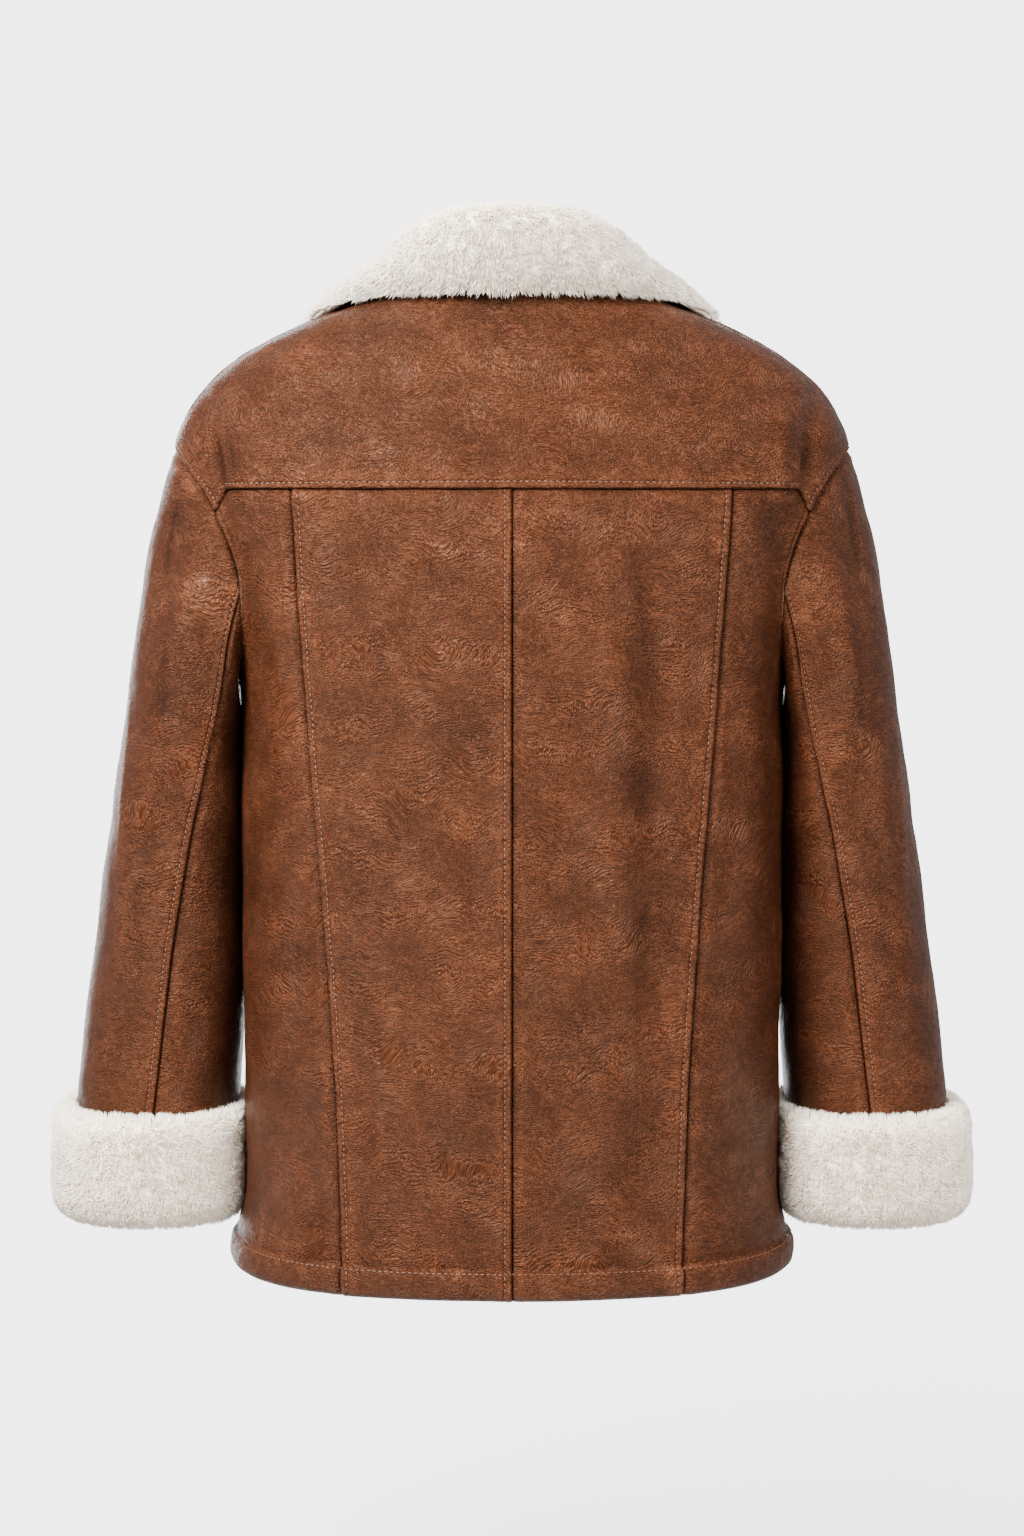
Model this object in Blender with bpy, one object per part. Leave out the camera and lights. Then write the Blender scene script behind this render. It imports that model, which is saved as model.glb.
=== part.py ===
"""Shearling jacket in the hollow form that it has when worn, with no wearer inside.

The wearer faces -Y, +X is the wearer's left and +Z is up. The origin is the middle of the neck
opening, 14 mm above its two side points, where the shoulders hold the jacket up.
Sizes are in millimetres and each mesh is scaled to metres when it is made.
The torso is a stack of rings. A place on it is an angle round the ring, 0 at the centre back,
a quarter turn at the wearer's left side and a half turn at the centre front, and a height z.
Every panel is a wall on that surface, cut where the real panel is cut.
"""

import math

import bmesh
import bpy
import numpy as np
from mathutils import kdtree

MM = 0.001
QUARTER = math.pi / 2
SEAM_GAP = 0.3
HIDE = 6.0

HEM_Z = -763.0
TIP_Z = -137.0
ARMPIT_Z = -311.0
ARMHOLE_STEPS = 14
YOKE_CORNER_STEP = 5
UNDER_SEAM_STEP = 8
FRONT_SEAM_STEP = 10
ARMHOLE_BACK = math.radians(33)
ARMHOLE_FRONT = math.radians(30)
YOKE_SEAM_Z = -170.0
YOKE_BEND = 0.84

NECK_SIDE_Z = -14.0
NECK_HALF_WIDTH = 84.0
NECK_BACK_DROP = 8.0
NECK_FRONT_DROP = 72.0

# The left front laps over the right one. Its columns next to the centre, from the outside in
OVERLAP = 22.0
OVERLAP_GAP = 0.6
OVERLAP_COLUMNS = (60, 29, 3, -OVERLAP)

BUTTON_RADIUS = 14.0
BUTTON_THICK = 4.5
BUTTON_TOP_Z = -128.0
BUTTON_PITCH = 135.0
BUTTONS = 4

LEATHER = (0.235, 0.082, 0.036)
WOOL = (0.74, 0.68, 0.61)
HORN = (0.055, 0.026, 0.014)


def table(columns, *rows):
    """The rows as one array for each named column."""
    return dict(zip(columns.split(), np.array(rows, float).T))


TORSO = table(
    "z half_width back front squareness",
    (-763, 215, 149, 150, 0.12),
    (-735, 212, 148, 150, 0.12),
    (-700, 206, 148, 150, 0.12),
    (-600, 207, 147, 150, 0.12),
    (-450, 208, 148, 151, 0.12),
    (-330, 208, 148, 150, 0.11),
    (-250, 228, 147, 147, 0.10),
    (-200, 245, 142, 139, 0.09),
    (-160, 254, 134, 128, 0.08),
    (-137, 256, 128, 120, 0.07),
    (-115, 248, 121, 112, 0.06),
    (-92, 232, 112, 103, 0.05),
    (-69, 205, 104, 95, 0.05),
    (-46, 162, 96, 88, 0.05),
    (-31, 123, 91, 83, 0.05),
    (-20.5, 99, 87, 79, 0.05),
    (-14, 84, 84, 76, 0.05),
)

# The princess seams, from the yoke seam down to the hem
PRINCESS = table(
    "z x",
    (-763, 125),
    (-617, 130),
    (-470, 139),
    (-325, 150),
    (-170, 161),
)

# Height above the hem edge, and how far the turned-up hem stands out and in there
HEM = table(
    "height out inside",
    (0, -0.5, 7.5),
    (2.5, 3.2, 9.5),
    (8, 4.6, 10),
    (15, 4.6, 10),
    (20, 3.2, 9.5),
    (23, -0.6, 8),
    (27, 0, 6),
)
BODY_LEVELS = (-705, -655, -605, -550, -495, -440, -390, -345)
SHOULDER_LEVELS = (-122, -107, -91, -76, -61, -47, -35, -24, -14)

# Soft folds of the back and front: a line from the upper to the lower end, and its swell
FOLDS = table(
    "side x_up z_up x_low z_low half_width height",
    (1, 176, -150, 162, -500, 15, 5.0),
    (1, -181, -150, -174, -580, 15, 5.0),
    (1, -76, -180, -82, -700, 17, 5.0),
    (1, -106, -185, -108, -690, 19, -5.0),
    (1, 142, -190, 122, -560, 16, 3.0),
    (1, 60, -480, 20, -740, 34, 2.5),
    (1, 232, -90, 214, -190, 9, -5.0),
    (1, -230, -90, -212, -190, 9, -5.0),
    (1, 203, -100, 196, -186, 13, 3.5),
    (1, -203, -100, -196, -186, 13, 3.5),
    (-1, 172, -240, 160, -560, 20, 4.0),
    (-1, -176, -240, -160, -520, 20, 4.0),
    (-1, 112, -330, 104, -720, 26, -3.0),
    (-1, -106, -300, -110, -700, 24, -3.0),
    (-1, 226, -110, 206, -230, 11, -4.5),
    (-1, -226, -110, -206, -230, 11, -4.5),
)

# Each sleeve ring: its outer and inner ends seen from the back, half its depth, the middle
# of its depth, and the angle where the back seam runs
SLEEVE = table(
    "outer_x outer_z inner_x inner_z half_depth middle_y seam",
    (256, -137, 208, -311, 79, 4, 108),
    (264.5, -163, 208, -320, 81, 3, 112),
    (273.5, -198, 207, -330, 82, 2, 117),
    (280, -231, 206, -343, 82, 0, 121),
    (286, -268, 206, -362, 81.5, -2, 122),
    (291.5, -306, 206, -386, 80.5, -4, 118),
    (297.5, -345, 206, -412, 79.5, -6, 113),
    (306, -397, 206, -450, 78, -9, 106),
    (314, -448, 206, -490, 76, -12, 101),
    (321.5, -500, 207, -533, 74, -15, 97),
    (329, -555, 209, -578, 72, -18, 95),
    (336.5, -608, 212, -622, 70.5, -20, 94),
    (340, -646, 214.5, -652, 70, -21, 93),
    (342, -686, 216, -690, 70, -22, 93),
    (343, -724, 217, -724, 70, -22, 93),
)
SLEEVE_SQUARENESS = 0.10
FRONT_SEAM_ANGLE = -128.0
BODY_CLEARANCE = 1.4
# Soft break folds down the back of the sleeve: ring number, angle and swell
SLEEVE_FOLDS = table(
    "ring_up ring_low angle_up angle_low half_angle height",
    (0.3, 6.0, 78, 84, 13, 4.5),
    (1.0, 5.5, 46, 58, 12, -3.0),
    (4.5, 11.0, 70, 60, 14, 2.5),
    (3.0, 9.0, -75, -80, 15, 3.0),
)

# The cuff's section: how far it stands out from the sleeve, and its height. The wool turns
# round the sleeve's end and back up the outside.
CUFF_SECTION = table(
    "out z",
    (0.5, -648),
    (5, -645),
    (11, -646),
    (15.5, -650.5),
    (17.8, -659),
    (18, -675),
    (18, -697),
    (17.4, -712),
    (14.6, -722.5),
    (9.5, -728.7),
    (2.5, -731.6),
    (-4, -731.4),
    (-7.4, -729),
    (-7, -726),
    (-3, -724.5),
    (0.5, -724.5),
    (0.5, -700),
    (0.5, -673),
)
CUFF_CLEARANCE = 1.2

# Collar sections from the centre back to the front end. The stand rises from the neck seam,
# rolls over, and the fall comes down to its outer edge, which lies on the torso.
COLLAR = table(
    "neck_angle stand edge_angle edge_z belly",
    (0, 47, 0, -27, 3),
    (20, 43.5, 22, -27, 3),
    (40, 32, 44, -27.5, 4),
    (60, 19, 66, -30, 6),
    (78, 14, 80, -34.5, 7),
    (90, 12, 93, -39.5, 6),
    (100, 11, 106, -44, 4),
    (111, 11, 119, -52.5, 2),
    (121, 10, 131, -70, 0),
    (140, 9, 145, -106, 0),
    (160, 8, 156, -143, 0),
    (172, 8, 162, -164, 0),
    (178, 8, 165, -174, 0),
)
COLLAR_END_X = 12.0
COLLAR_ROLL = 8.5
COLLAR_ROLL_STEPS = 4
COLLAR_FALL_STEPS = 8
COLLAR_STAND_THICK = 6.5
COLLAR_FALL_THICK = 12.5
COLLAR_EDGE_THICK = 7.0
COLLAR_CLEARANCE = 1.9
COLLAR_SEAM_GAP = 0.35

CENTRE_COLUMNS = 6
SIDE_COLUMNS = 5
FRONT_COLUMNS = 7
YOKE_WELT = 1.4


def smooth(at, knots, values):
    """A smooth curve through the knots that never overshoots them."""
    at = np.asarray(at, float)
    step = np.diff(knots)
    slope = np.diff(values) / step
    tangent = np.concatenate([slope[:1], np.zeros(len(slope) - 1), slope[-1:]])
    same = slope[:-1] * slope[1:] > 0
    product = 2 * slope[:-1] * slope[1:]
    total = np.where(same, slope[:-1] + slope[1:], 1.0)
    tangent[1:-1] = np.where(same, product / total, 0.0)
    i = np.clip(np.searchsorted(knots, at) - 1, 0, len(step) - 1)
    t = np.clip((at - knots[i]) / step[i], 0, 1)
    rise = values[i + 1] - values[i]
    ease = t * t * (3 - 2 * t)
    pull = tangent[i] * t * (1 - t) ** 2 - tangent[i + 1] * t * t * (1 - t)
    return values[i] + rise * ease + pull * step[i]


def ease(value, start, end):
    """0 before start and 1 after end, with a soft change between them."""
    t = np.clip((np.asarray(value, float) - start) / (end - start), 0, 1)
    return t * t * (3 - 2 * t)


def unit(vectors):
    return vectors / np.linalg.norm(vectors, axis=-1, keepdims=True)


def ring_size(z, name):
    return smooth(z, TORSO["z"], TORSO[name])


def plain_torso(angle, z):
    """The torso's outer surface with no folds."""
    s, c = np.sin(angle), np.cos(angle)
    q = ring_size(z, "squareness")
    depth = np.where(c >= 0, ring_size(z, "back"), ring_size(z, "front"))
    x = ring_size(z, "half_width") * s * (1 + q * c * c)
    y = depth * c * (1 + q * s * s)
    return np.stack([x, y, np.asarray(z, float) + 0 * x], -1)


def normal_of(surface, angle, z):
    """The outward normal of a surface that is given by angle and height."""
    small = 1e-3
    across = surface(angle + small, z) - surface(angle - small, z)
    up = surface(angle, z + small) - surface(angle, z - small)
    return unit(np.cross(up, across))


def swell(x, z, side):
    """How far the folds move the surface out at a place seen from the back or the front."""
    total = np.zeros(np.broadcast(x, z, side).shape)
    for i in range(len(FOLDS["side"])):
        fold = {name: values[i] for name, values in FOLDS.items()}
        along = np.clip((fold["z_up"] - z) / (fold["z_up"] - fold["z_low"]), 0, 1)
        line = fold["x_up"] + (fold["x_low"] - fold["x_up"]) * along
        shape = np.exp(-(((x - line) / fold["half_width"]) ** 2))
        total += (side == fold["side"]) * fold["height"] * shape * np.sin(math.pi * along) ** 0.8
    return total


def torso(angle, z):
    """The torso's outer surface with its folds."""
    angle, z = np.broadcast_arrays(np.asarray(angle, float), np.asarray(z, float))
    flat = plain_torso(angle, z)
    side = np.where(np.cos(angle) >= 0, 1.0, -1.0)
    out = swell(flat[..., 0], z, side) * ease(np.abs(np.cos(angle)), 0.03, 0.3)
    return flat + normal_of(plain_torso, angle, z) * out[..., None]


def angle_at(x, z, front=False):
    """The angle where the ring at height z is x from the middle."""
    share = np.clip(np.asarray(x, float) / ring_size(z, "half_width"), -1, 1)
    q = ring_size(z, "squareness")
    s = share / (1 + q)
    for _ in range(30):
        s = np.clip(share / (1 + q * (1 - s * s)), -1, 1)
    angle = np.arcsin(s)
    return math.pi - angle if front else angle


def armhole_levels():
    """Heights of the rows along the armhole, from the armpit up to the shoulder tip."""
    steps = np.arange(ARMHOLE_STEPS, -1, -1)
    middle, half = (TIP_Z + ARMPIT_Z) / 2, (TIP_Z - ARMPIT_Z) / 2
    return middle + half * np.cos(math.pi * steps / ARMHOLE_STEPS)


def armhole_bow(z):
    middle, half = (TIP_Z + ARMPIT_Z) / 2, (TIP_Z - ARMPIT_Z) / 2
    return np.sqrt(np.clip(1 - ((z - middle) / half) ** 2, 0, 1))


def back_limit(z):
    """The back panels' outer limit: the side seam, the armhole or the shoulder seam."""
    return QUARTER - ARMHOLE_BACK * armhole_bow(z)


def front_limit(z):
    return QUARTER + ARMHOLE_FRONT * armhole_bow(z)


CORNER_Z = float(armhole_levels()[ARMHOLE_STEPS - YOKE_CORNER_STEP])


def yoke_seam_z(share):
    return YOKE_SEAM_Z + (CORNER_Z - YOKE_SEAM_Z) * ease(np.abs(share), YOKE_BEND, 1.0)


def neck_curve():
    """Angles and heights along the neckline, from the centre back to the centre front."""
    t = np.linspace(0, 1, 91)
    back_x = NECK_HALF_WIDTH * np.sin(t * QUARTER)
    back_z = NECK_SIDE_Z - NECK_BACK_DROP * np.cos(t * QUARTER) ** 2
    front_x = NECK_HALF_WIDTH * np.cos(t * QUARTER)
    front_z = NECK_SIDE_Z - NECK_FRONT_DROP * np.sin(t * QUARTER) ** 1.3
    angles = np.concatenate([angle_at(back_x, back_z), angle_at(front_x, front_z, True)[1:]])
    return angles, np.concatenate([back_z, front_z[1:]])


NECK_ANGLES, NECK_HEIGHTS = neck_curve()


def neck_z(angle):
    angle = np.abs(np.asarray(angle, float))
    return np.interp(np.where(angle > math.pi, 2 * math.pi - angle, angle), NECK_ANGLES, NECK_HEIGHTS)


def overlap_share(x):
    """1 where the two fronts lie on each other and 0 where there is only one."""
    lone, doubled = OVERLAP_COLUMNS[:2]
    return np.clip((lone - x) / (lone - doubled), 0, 1)


def front_lift(angle, z):
    """How far the doubled fronts stand off the torso's surface."""
    doubled = overlap_share(np.abs(plain_torso(angle, z)[..., 0]))
    return (HIDE + OVERLAP_GAP) * doubled * (np.cos(angle) < 0)


def skin():
    """Points and normals all over the torso, for keeping other pieces off it."""
    angle, z = np.meshgrid(np.radians(np.arange(-180, 180, 3.0)), np.arange(HEM_Z, NECK_SIDE_Z, 5.0))
    normal = normal_of(torso, angle, z)
    lift = front_lift(angle, z) + hem_offsets(z)[0]
    points = (torso(angle, z) + normal * lift[..., None]).reshape(-1, 3)
    tree = kdtree.KDTree(len(points))
    for i, point in enumerate(points):
        tree.insert(point, i)
    tree.balance()
    return tree, points, normal.reshape(-1, 3)


def keep_off(skin_points, points, clear):
    """The points, with those nearer to the torso than clear moved out along its normal."""
    tree, places, normals = skin_points
    flat = points.reshape(-1, 3).copy()
    wanted = np.broadcast_to(clear, points.shape[:-1]).reshape(-1)
    for i, point in enumerate(flat):
        nearest = tree.find(point)[1]
        lack = wanted[i] - (point - places[nearest]) @ normals[nearest]
        if lack > 0:
            flat[i] = point + normals[nearest] * lack
    return flat.reshape(points.shape)


def material(name, colour, roughness):
    made = bpy.data.materials.new(name)
    made.use_nodes = True
    shader = made.node_tree.nodes["Principled BSDF"]
    shader.inputs["Base Color"].default_value = (*colour, 1)
    shader.inputs["Roughness"].default_value = roughness
    shader.inputs["Metallic"].default_value = 0.0
    return made


def add_mesh(name, points, faces, finish):
    """A mesh object from points in millimetres."""
    mesh = bpy.data.meshes.new(name)
    mesh.from_pydata([tuple(p) for p in np.asarray(points) * MM], [], faces)
    mesh.materials.append(finish)
    mesh.shade_smooth()
    mesh.set_sharp_from_angle(angle=math.radians(50))
    made = bpy.data.objects.new(name, mesh)
    bpy.context.scene.collection.objects.link(made)
    return made


def draw_in(grid, sides, gap=SEAM_GAP / 2):
    """Moves the named edges of a grid of points in by half a seam gap."""
    edges = {
        "first_row": (np.s_[0], np.s_[1]),
        "last_row": (np.s_[-1], np.s_[-2]),
        "first_column": (np.s_[:, 0], np.s_[:, 1]),
        "last_column": (np.s_[:, -1], np.s_[:, -2]),
    }
    moved = grid.copy()
    for side in sides:
        edge, inner = edges[side]
        moved[edge] += unit(grid[inner] - grid[edge]) * gap
    return moved


def wall(name, outer, inner, finish):
    """A closed wall between two grids of points, rows by columns."""
    rows, columns = outer.shape[:2]
    count = rows * columns

    def at(side, i, j):
        return side * count + i * columns + j

    faces = []
    for i in range(rows - 1):
        for j in range(columns - 1):
            loop = [at(0, i, j), at(0, i, j + 1), at(0, i + 1, j + 1), at(0, i + 1, j)]
            faces.append(loop)
            faces.append([count + k for k in reversed(loop)])
    rim = []
    for i in (0, rows - 1):
        for j in range(columns - 1):
            ends = [(i, j), (i, j + 1)]
            rim.append(sorted(ends, key=lambda end: abs(outer[end][0])))
    for j in (0, columns - 1):
        rim += [[(i, j), (i + 1, j)] for i in range(rows - 1)]
    for near, far in rim:
        faces.append([at(0, *near), at(1, *near), at(1, *far)])
        faces.append([at(0, *near), at(1, *far), at(0, *far)])
    points = np.concatenate([outer.reshape(-1, 3), inner.reshape(-1, 3)])
    return add_closed(name, points, faces, finish)


def add_closed(name, points, faces, finish):
    """A closed mesh object with its faces turned outwards."""
    made = add_mesh(name, points, faces, finish)
    mesh = bmesh.new()
    mesh.from_mesh(made.data)
    bmesh.ops.recalc_face_normals(mesh, faces=mesh.faces)
    mesh.to_mesh(made.data)
    mesh.free()
    return made


def torso_wall(name, angle, z, out, inside, seams, finish):
    """A wall on the torso's surface at a grid of angles and heights."""
    base = torso(angle, z)
    normal = normal_of(torso, angle, z)
    outer = draw_in(base + normal * out[..., None], seams)
    inner = draw_in(base - normal * inside[..., None], seams)
    return wall(name, outer, inner, finish)


def lower_levels():
    return np.concatenate([HEM_Z + HEM["height"], BODY_LEVELS])


def hem_offsets(z):
    """How far the wall stands out and in at each height, with the turned-up hem."""
    height = np.asarray(z) - HEM_Z
    return (
        np.interp(height, HEM["height"], HEM["out"]),
        np.interp(height, HEM["height"], HEM["inside"], right=HIDE),
    )


def rows_between(levels, near, bottom, top):
    """Heights of a grid's rows from bottom to top. They lie at the levels where near is 1,
    beside the armhole, and are evenly spaced where it is 0."""
    even = np.linspace(0, 1, len(levels))[:, None]
    cut = ((levels - levels[0]) / (levels[-1] - levels[0]))[:, None]
    return bottom + (even + (cut - even) * near) * (top - bottom)


def princess_angle(z):
    return angle_at(smooth(z, PRINCESS["z"], PRINCESS["x"]), z)


def spread(share, limit):
    """The angle of a column: its share of a quarter turn, drawn back where the armhole is."""
    return QUARTER * share - np.sign(share) * (QUARTER - limit) * share**2


def back_shares():
    """Where the back's columns meet the yoke seam, from the centre to the armhole."""
    limit = float(back_limit(CORNER_Z))
    tries = np.linspace(0, 1, 501)
    princess = float(np.interp(princess_angle(YOKE_SEAM_Z), spread(tries, limit), tries))
    centre = princess * np.linspace(0, 1, CENTRE_COLUMNS + 1)
    side = princess + (1 - princess) * np.linspace(0, 1, SIDE_COLUMNS + 1)
    return centre, side


def near_armhole(share):
    return ease(np.abs(share), 0.55, 1.0)


def back_panels(finish):
    armhole = armhole_levels()[: ARMHOLE_STEPS - YOKE_CORNER_STEP + 1]
    lower = lower_levels()
    limit = np.concatenate([np.full(len(lower), QUARTER), back_limit(armhole)])[:, None]
    centre, side = back_shares()
    for shares, kind, at_princess in ((centre, "centre", -1), (side, "side", 0)):
        upper = rows_between(armhole, near_armhole(shares), ARMPIT_Z, yoke_seam_z(shares))
        z = np.concatenate([np.repeat(lower[:, None], len(shares), axis=1), upper])
        princess = princess_angle(z[:, at_princess])[:, None]
        top = spread(shares, limit[-1])
        along = ((top - top[0]) / (top[-1] - top[0]))[None, :]
        angle = princess * along if kind == "centre" else princess + (limit - princess) * along
        out, inside = hem_offsets(z)
        seams = ["last_row", "first_column", "last_column"]
        for hand, sign in (("left", 1), ("right", -1)):
            torso_wall(f"back_{kind}_{hand}", sign * angle, z, out, inside, seams, finish)


def yoke_grid():
    """Angles and heights of the yoke's rows and columns, from the right armhole to the left."""
    armhole = armhole_levels()[ARMHOLE_STEPS - YOKE_CORNER_STEP :]
    levels = np.concatenate([armhole, SHOULDER_LEVELS])
    centre, side = back_shares()
    half = np.concatenate([centre, side[1:]])
    shares = np.concatenate([-half[:0:-1], half])
    limit = np.where(levels < TIP_Z, back_limit(levels), QUARTER)[:, None]
    z = rows_between(levels, near_armhole(shares), yoke_seam_z(shares), neck_z(shares * QUARTER))
    return spread(shares, limit), z


def back_yoke(finish):
    angle, z = yoke_grid()
    out = np.zeros_like(z)
    out[0] = YOKE_WELT
    seams = ["first_row", "last_row", "first_column", "last_column"]
    torso_wall("back_yoke", angle, z, out, HIDE + 0 * z, seams, finish)


def front_grid():
    """Angles and heights of a front's rows and columns, from the side to its front edge."""
    lower = lower_levels()
    armhole = armhole_levels()
    levels = np.concatenate([armhole, SHOULDER_LEVELS])
    limit = np.where(levels < TIP_Z, front_limit(levels), QUARTER)
    limit = np.concatenate([np.full(len(lower), QUARTER), limit])[:, None]
    spaced = np.linspace(0, 1, FRONT_COLUMNS + 1)[None, :-1]
    top = np.full(FRONT_COLUMNS + len(OVERLAP_COLUMNS), NECK_SIDE_Z)
    near = 1.0
    for _ in range(6):
        upper = rows_between(levels, near, ARMPIT_Z, top)
        z = np.concatenate([np.repeat(lower[:, None], len(top), axis=1), upper])
        edges = angle_at(OVERLAP_COLUMNS, z[:, FRONT_COLUMNS:], True)
        angle = np.concatenate([QUARTER + (edges[:, :1] - QUARTER) * spaced, edges], axis=1)
        along = (angle - QUARTER) / (edges[:, -1:] - QUARTER)
        near = near_armhole(1 - along)[len(lower) :]
        top = neck_z(angle[-1])
    return angle + (limit - QUARTER) * (1 - along) ** 2, z


def fronts(finish):
    seams = ["last_row", "first_column"]
    angle, z = front_grid()
    out, inside = hem_offsets(z)
    doubled = overlap_share(plain_torso(angle, z)[..., 0])
    lift = (inside + OVERLAP_GAP) * doubled
    torso_wall("front_left", angle, z, out + lift, inside - lift, seams, finish)
    torso_wall("front_right", -angle, z, out * (1 - doubled), inside, seams, finish)


def armhole_loop():
    """Angles and heights round the left armhole, from the shoulder tip down its back,
    through the armpit and up its front."""
    down = armhole_levels()[::-1]
    up = armhole_levels()[1:-1]
    angle = np.concatenate([back_limit(down), front_limit(up)])
    return angle, np.concatenate([down, up])


def sleeve_row(ring, name):
    return np.interp(ring, np.arange(len(SLEEVE["seam"])), SLEEVE[name])


def sleeve_ring(ring, angle):
    """The plain ring of a sleeve, at angles from its outer end round by the back."""
    q = SLEEVE_SQUARENESS
    s, c = np.sin(angle), np.cos(angle)
    across = c * (1 + q * s * s)
    along_y = s * (1 + q * c * c)
    outer = np.stack([sleeve_row(ring, "outer_x"), sleeve_row(ring, "outer_z")], -1)
    inner = np.stack([sleeve_row(ring, "inner_x"), sleeve_row(ring, "inner_z")], -1)
    place = (outer + inner) / 2 + (outer - inner) / 2 * across[..., None]
    y = sleeve_row(ring, "middle_y") + sleeve_row(ring, "half_depth") * along_y
    return np.stack([place[..., 0], y, place[..., 1]], -1)


def sleeve_angles():
    """Each column's angle on each ring: as the armhole has it first, then evenly spaced
    between the sleeve's two seams."""
    loop_angle, loop_z = armhole_loop()
    points = torso(loop_angle, loop_z)
    outer_end = np.array([SLEEVE["outer_x"][0], SLEEVE["outer_z"][0]])
    inner_end = np.array([SLEEVE["inner_x"][0], SLEEVE["inner_z"][0]])
    axis = outer_end - inner_end
    across = ((points[:, [0, 2]] - (outer_end + inner_end) / 2) @ axis) / (axis @ axis / 2)
    deep = (points[:, 1] - SLEEVE["middle_y"][0]) / SLEEVE["half_depth"][0]
    first = np.unwrap(np.arctan2(deep, across))
    first -= first[0]
    count = len(loop_z)
    back, front = UNDER_SEAM_STEP, count - FRONT_SEAM_STEP
    rings = np.arange(len(SLEEVE["seam"]))
    columns = np.arange(count + 1)
    angles = []
    for ring in rings:
        knots = [0, back, front, count]
        stops = [0, SLEEVE["seam"][ring], 360 + FRONT_SEAM_ANGLE, 360]
        even = np.radians(np.interp(columns[:-1], knots, stops))
        share = float(ease(ring, 0, 4))
        angles.append(first + (even - first) * share)
    return rings, np.array(angles)


def sleeve_swell(ring, angle):
    degrees = np.degrees(np.mod(angle + math.pi, 2 * math.pi) - math.pi)
    total = np.zeros_like(degrees)
    for i in range(len(SLEEVE_FOLDS["ring_up"])):
        fold = {name: values[i] for name, values in SLEEVE_FOLDS.items()}
        along = np.clip((ring - fold["ring_up"]) / (fold["ring_low"] - fold["ring_up"]), 0, 1)
        line = fold["angle_up"] + (fold["angle_low"] - fold["angle_up"]) * along
        shape = np.exp(-(((degrees - line) / fold["half_angle"]) ** 2))
        total += fold["height"] * shape * np.sin(math.pi * along) ** 0.8
    return total


def grid_normal(points):
    """Outward normals of a tube of points, rings by columns."""
    round_it = np.roll(points, -1, axis=1) - np.roll(points, 1, axis=1)
    down = np.gradient(points, axis=0)
    return unit(np.cross(down, round_it))


def dot(one, other):
    return np.sum(one * other, -1, keepdims=True)


def sleeve_surface(skin_points):
    """The left sleeve's outer points and normals, rings by columns."""
    rings, angles = sleeve_angles()
    ring = np.broadcast_to(rings[:, None], angles.shape)
    points = sleeve_ring(ring, angles)
    loop_angle, loop_z = armhole_loop()
    armhole = torso(loop_angle, loop_z)
    fade = 1 - ease(ring, 0, 5)[..., None]
    points = points + (armhole - points[0])[None] * fade
    fold = sleeve_swell(ring, angles) * ease(ring, 0, 1.5)
    points = points + grid_normal(points) * fold[..., None]
    clear = 0.6 + (BODY_CLEARANCE - 0.6) * ease(rings[1:], 1, 3)[:, None]
    points[1:] = keep_off(skin_points, points[1:], clear)
    normal = grid_normal(points)
    torso_normal = normal_of(torso, loop_angle, loop_z)
    tangent = unit(np.roll(armhole, -1, axis=0) - np.roll(armhole, 1, axis=0))
    opening = unit(np.cross(torso_normal, tangent))
    opening *= np.sign(dot(opening, armhole.mean(0) - armhole))
    folded_back = ease(-dot(unit(points[1] - points[0]), opening), -0.3, 0.3)
    points[0] = armhole + (opening + torso_normal * folded_back) * SEAM_GAP
    normal[0] = unit(normal[0] - np.maximum(dot(normal[0], opening), 0) * opening)
    return points, normal


def mirrored(points):
    return points * np.array([-1.0, 1.0, 1.0])


def sleeves(skin_points, finish):
    outer, normal = sleeve_surface(skin_points)
    inner = outer - normal * HIDE
    count = outer.shape[1]
    back, front = UNDER_SEAM_STEP, count - FRONT_SEAM_STEP
    pieces = {
        "sleeve_upper": np.arange(front, count + back + 1) % count,
        "sleeve_under": np.arange(back, front + 1),
    }
    seams = ["first_column", "last_column"]
    for hand, turn in (("left", lambda p: p), ("right", mirrored)):
        for piece, columns in pieces.items():
            out = draw_in(outer[:, columns], seams)
            inside = draw_in(inner[:, columns], seams)
            wall(f"{piece}_{hand}", turn(out), turn(inside), finish)
    return outer


def cuffs(skin_points, sleeve_outer, finish):
    """Each cuff is one section carried round the sleeve's lower end."""
    count = sleeve_outer.shape[1]
    rows = []
    for out, z in zip(CUFF_SECTION["out"], CUFF_SECTION["z"]):
        ring = np.interp(-z, -sleeve_outer[:, :, 2].mean(1), np.arange(len(sleeve_outer)))
        low = int(min(ring, len(sleeve_outer) - 2))
        share = ring - low
        points = sleeve_outer[low] * (1 - share) + sleeve_outer[low + 1] * share
        tangent = unit(np.roll(points, -1, axis=0) - np.roll(points, 1, axis=0))
        points = points + unit(np.cross(tangent, [0, 0, 1.0])) * out
        points[:, 2] = z
        rows.append(points)
    section = keep_off(skin_points, np.array(rows), CUFF_CLEARANCE)
    turns = len(rows)
    faces = []
    for i in range(turns):
        for j in range(count):
            here, there = i * count, (i + 1) % turns * count
            beside = (j + 1) % count
            faces.append([here + j, here + beside, there + beside, there + j])
    for hand, turn in (("left", lambda p: p), ("right", mirrored)):
        add_closed(f"cuff_{hand}", turn(section.reshape(-1, 3)), faces, finish)


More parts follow.
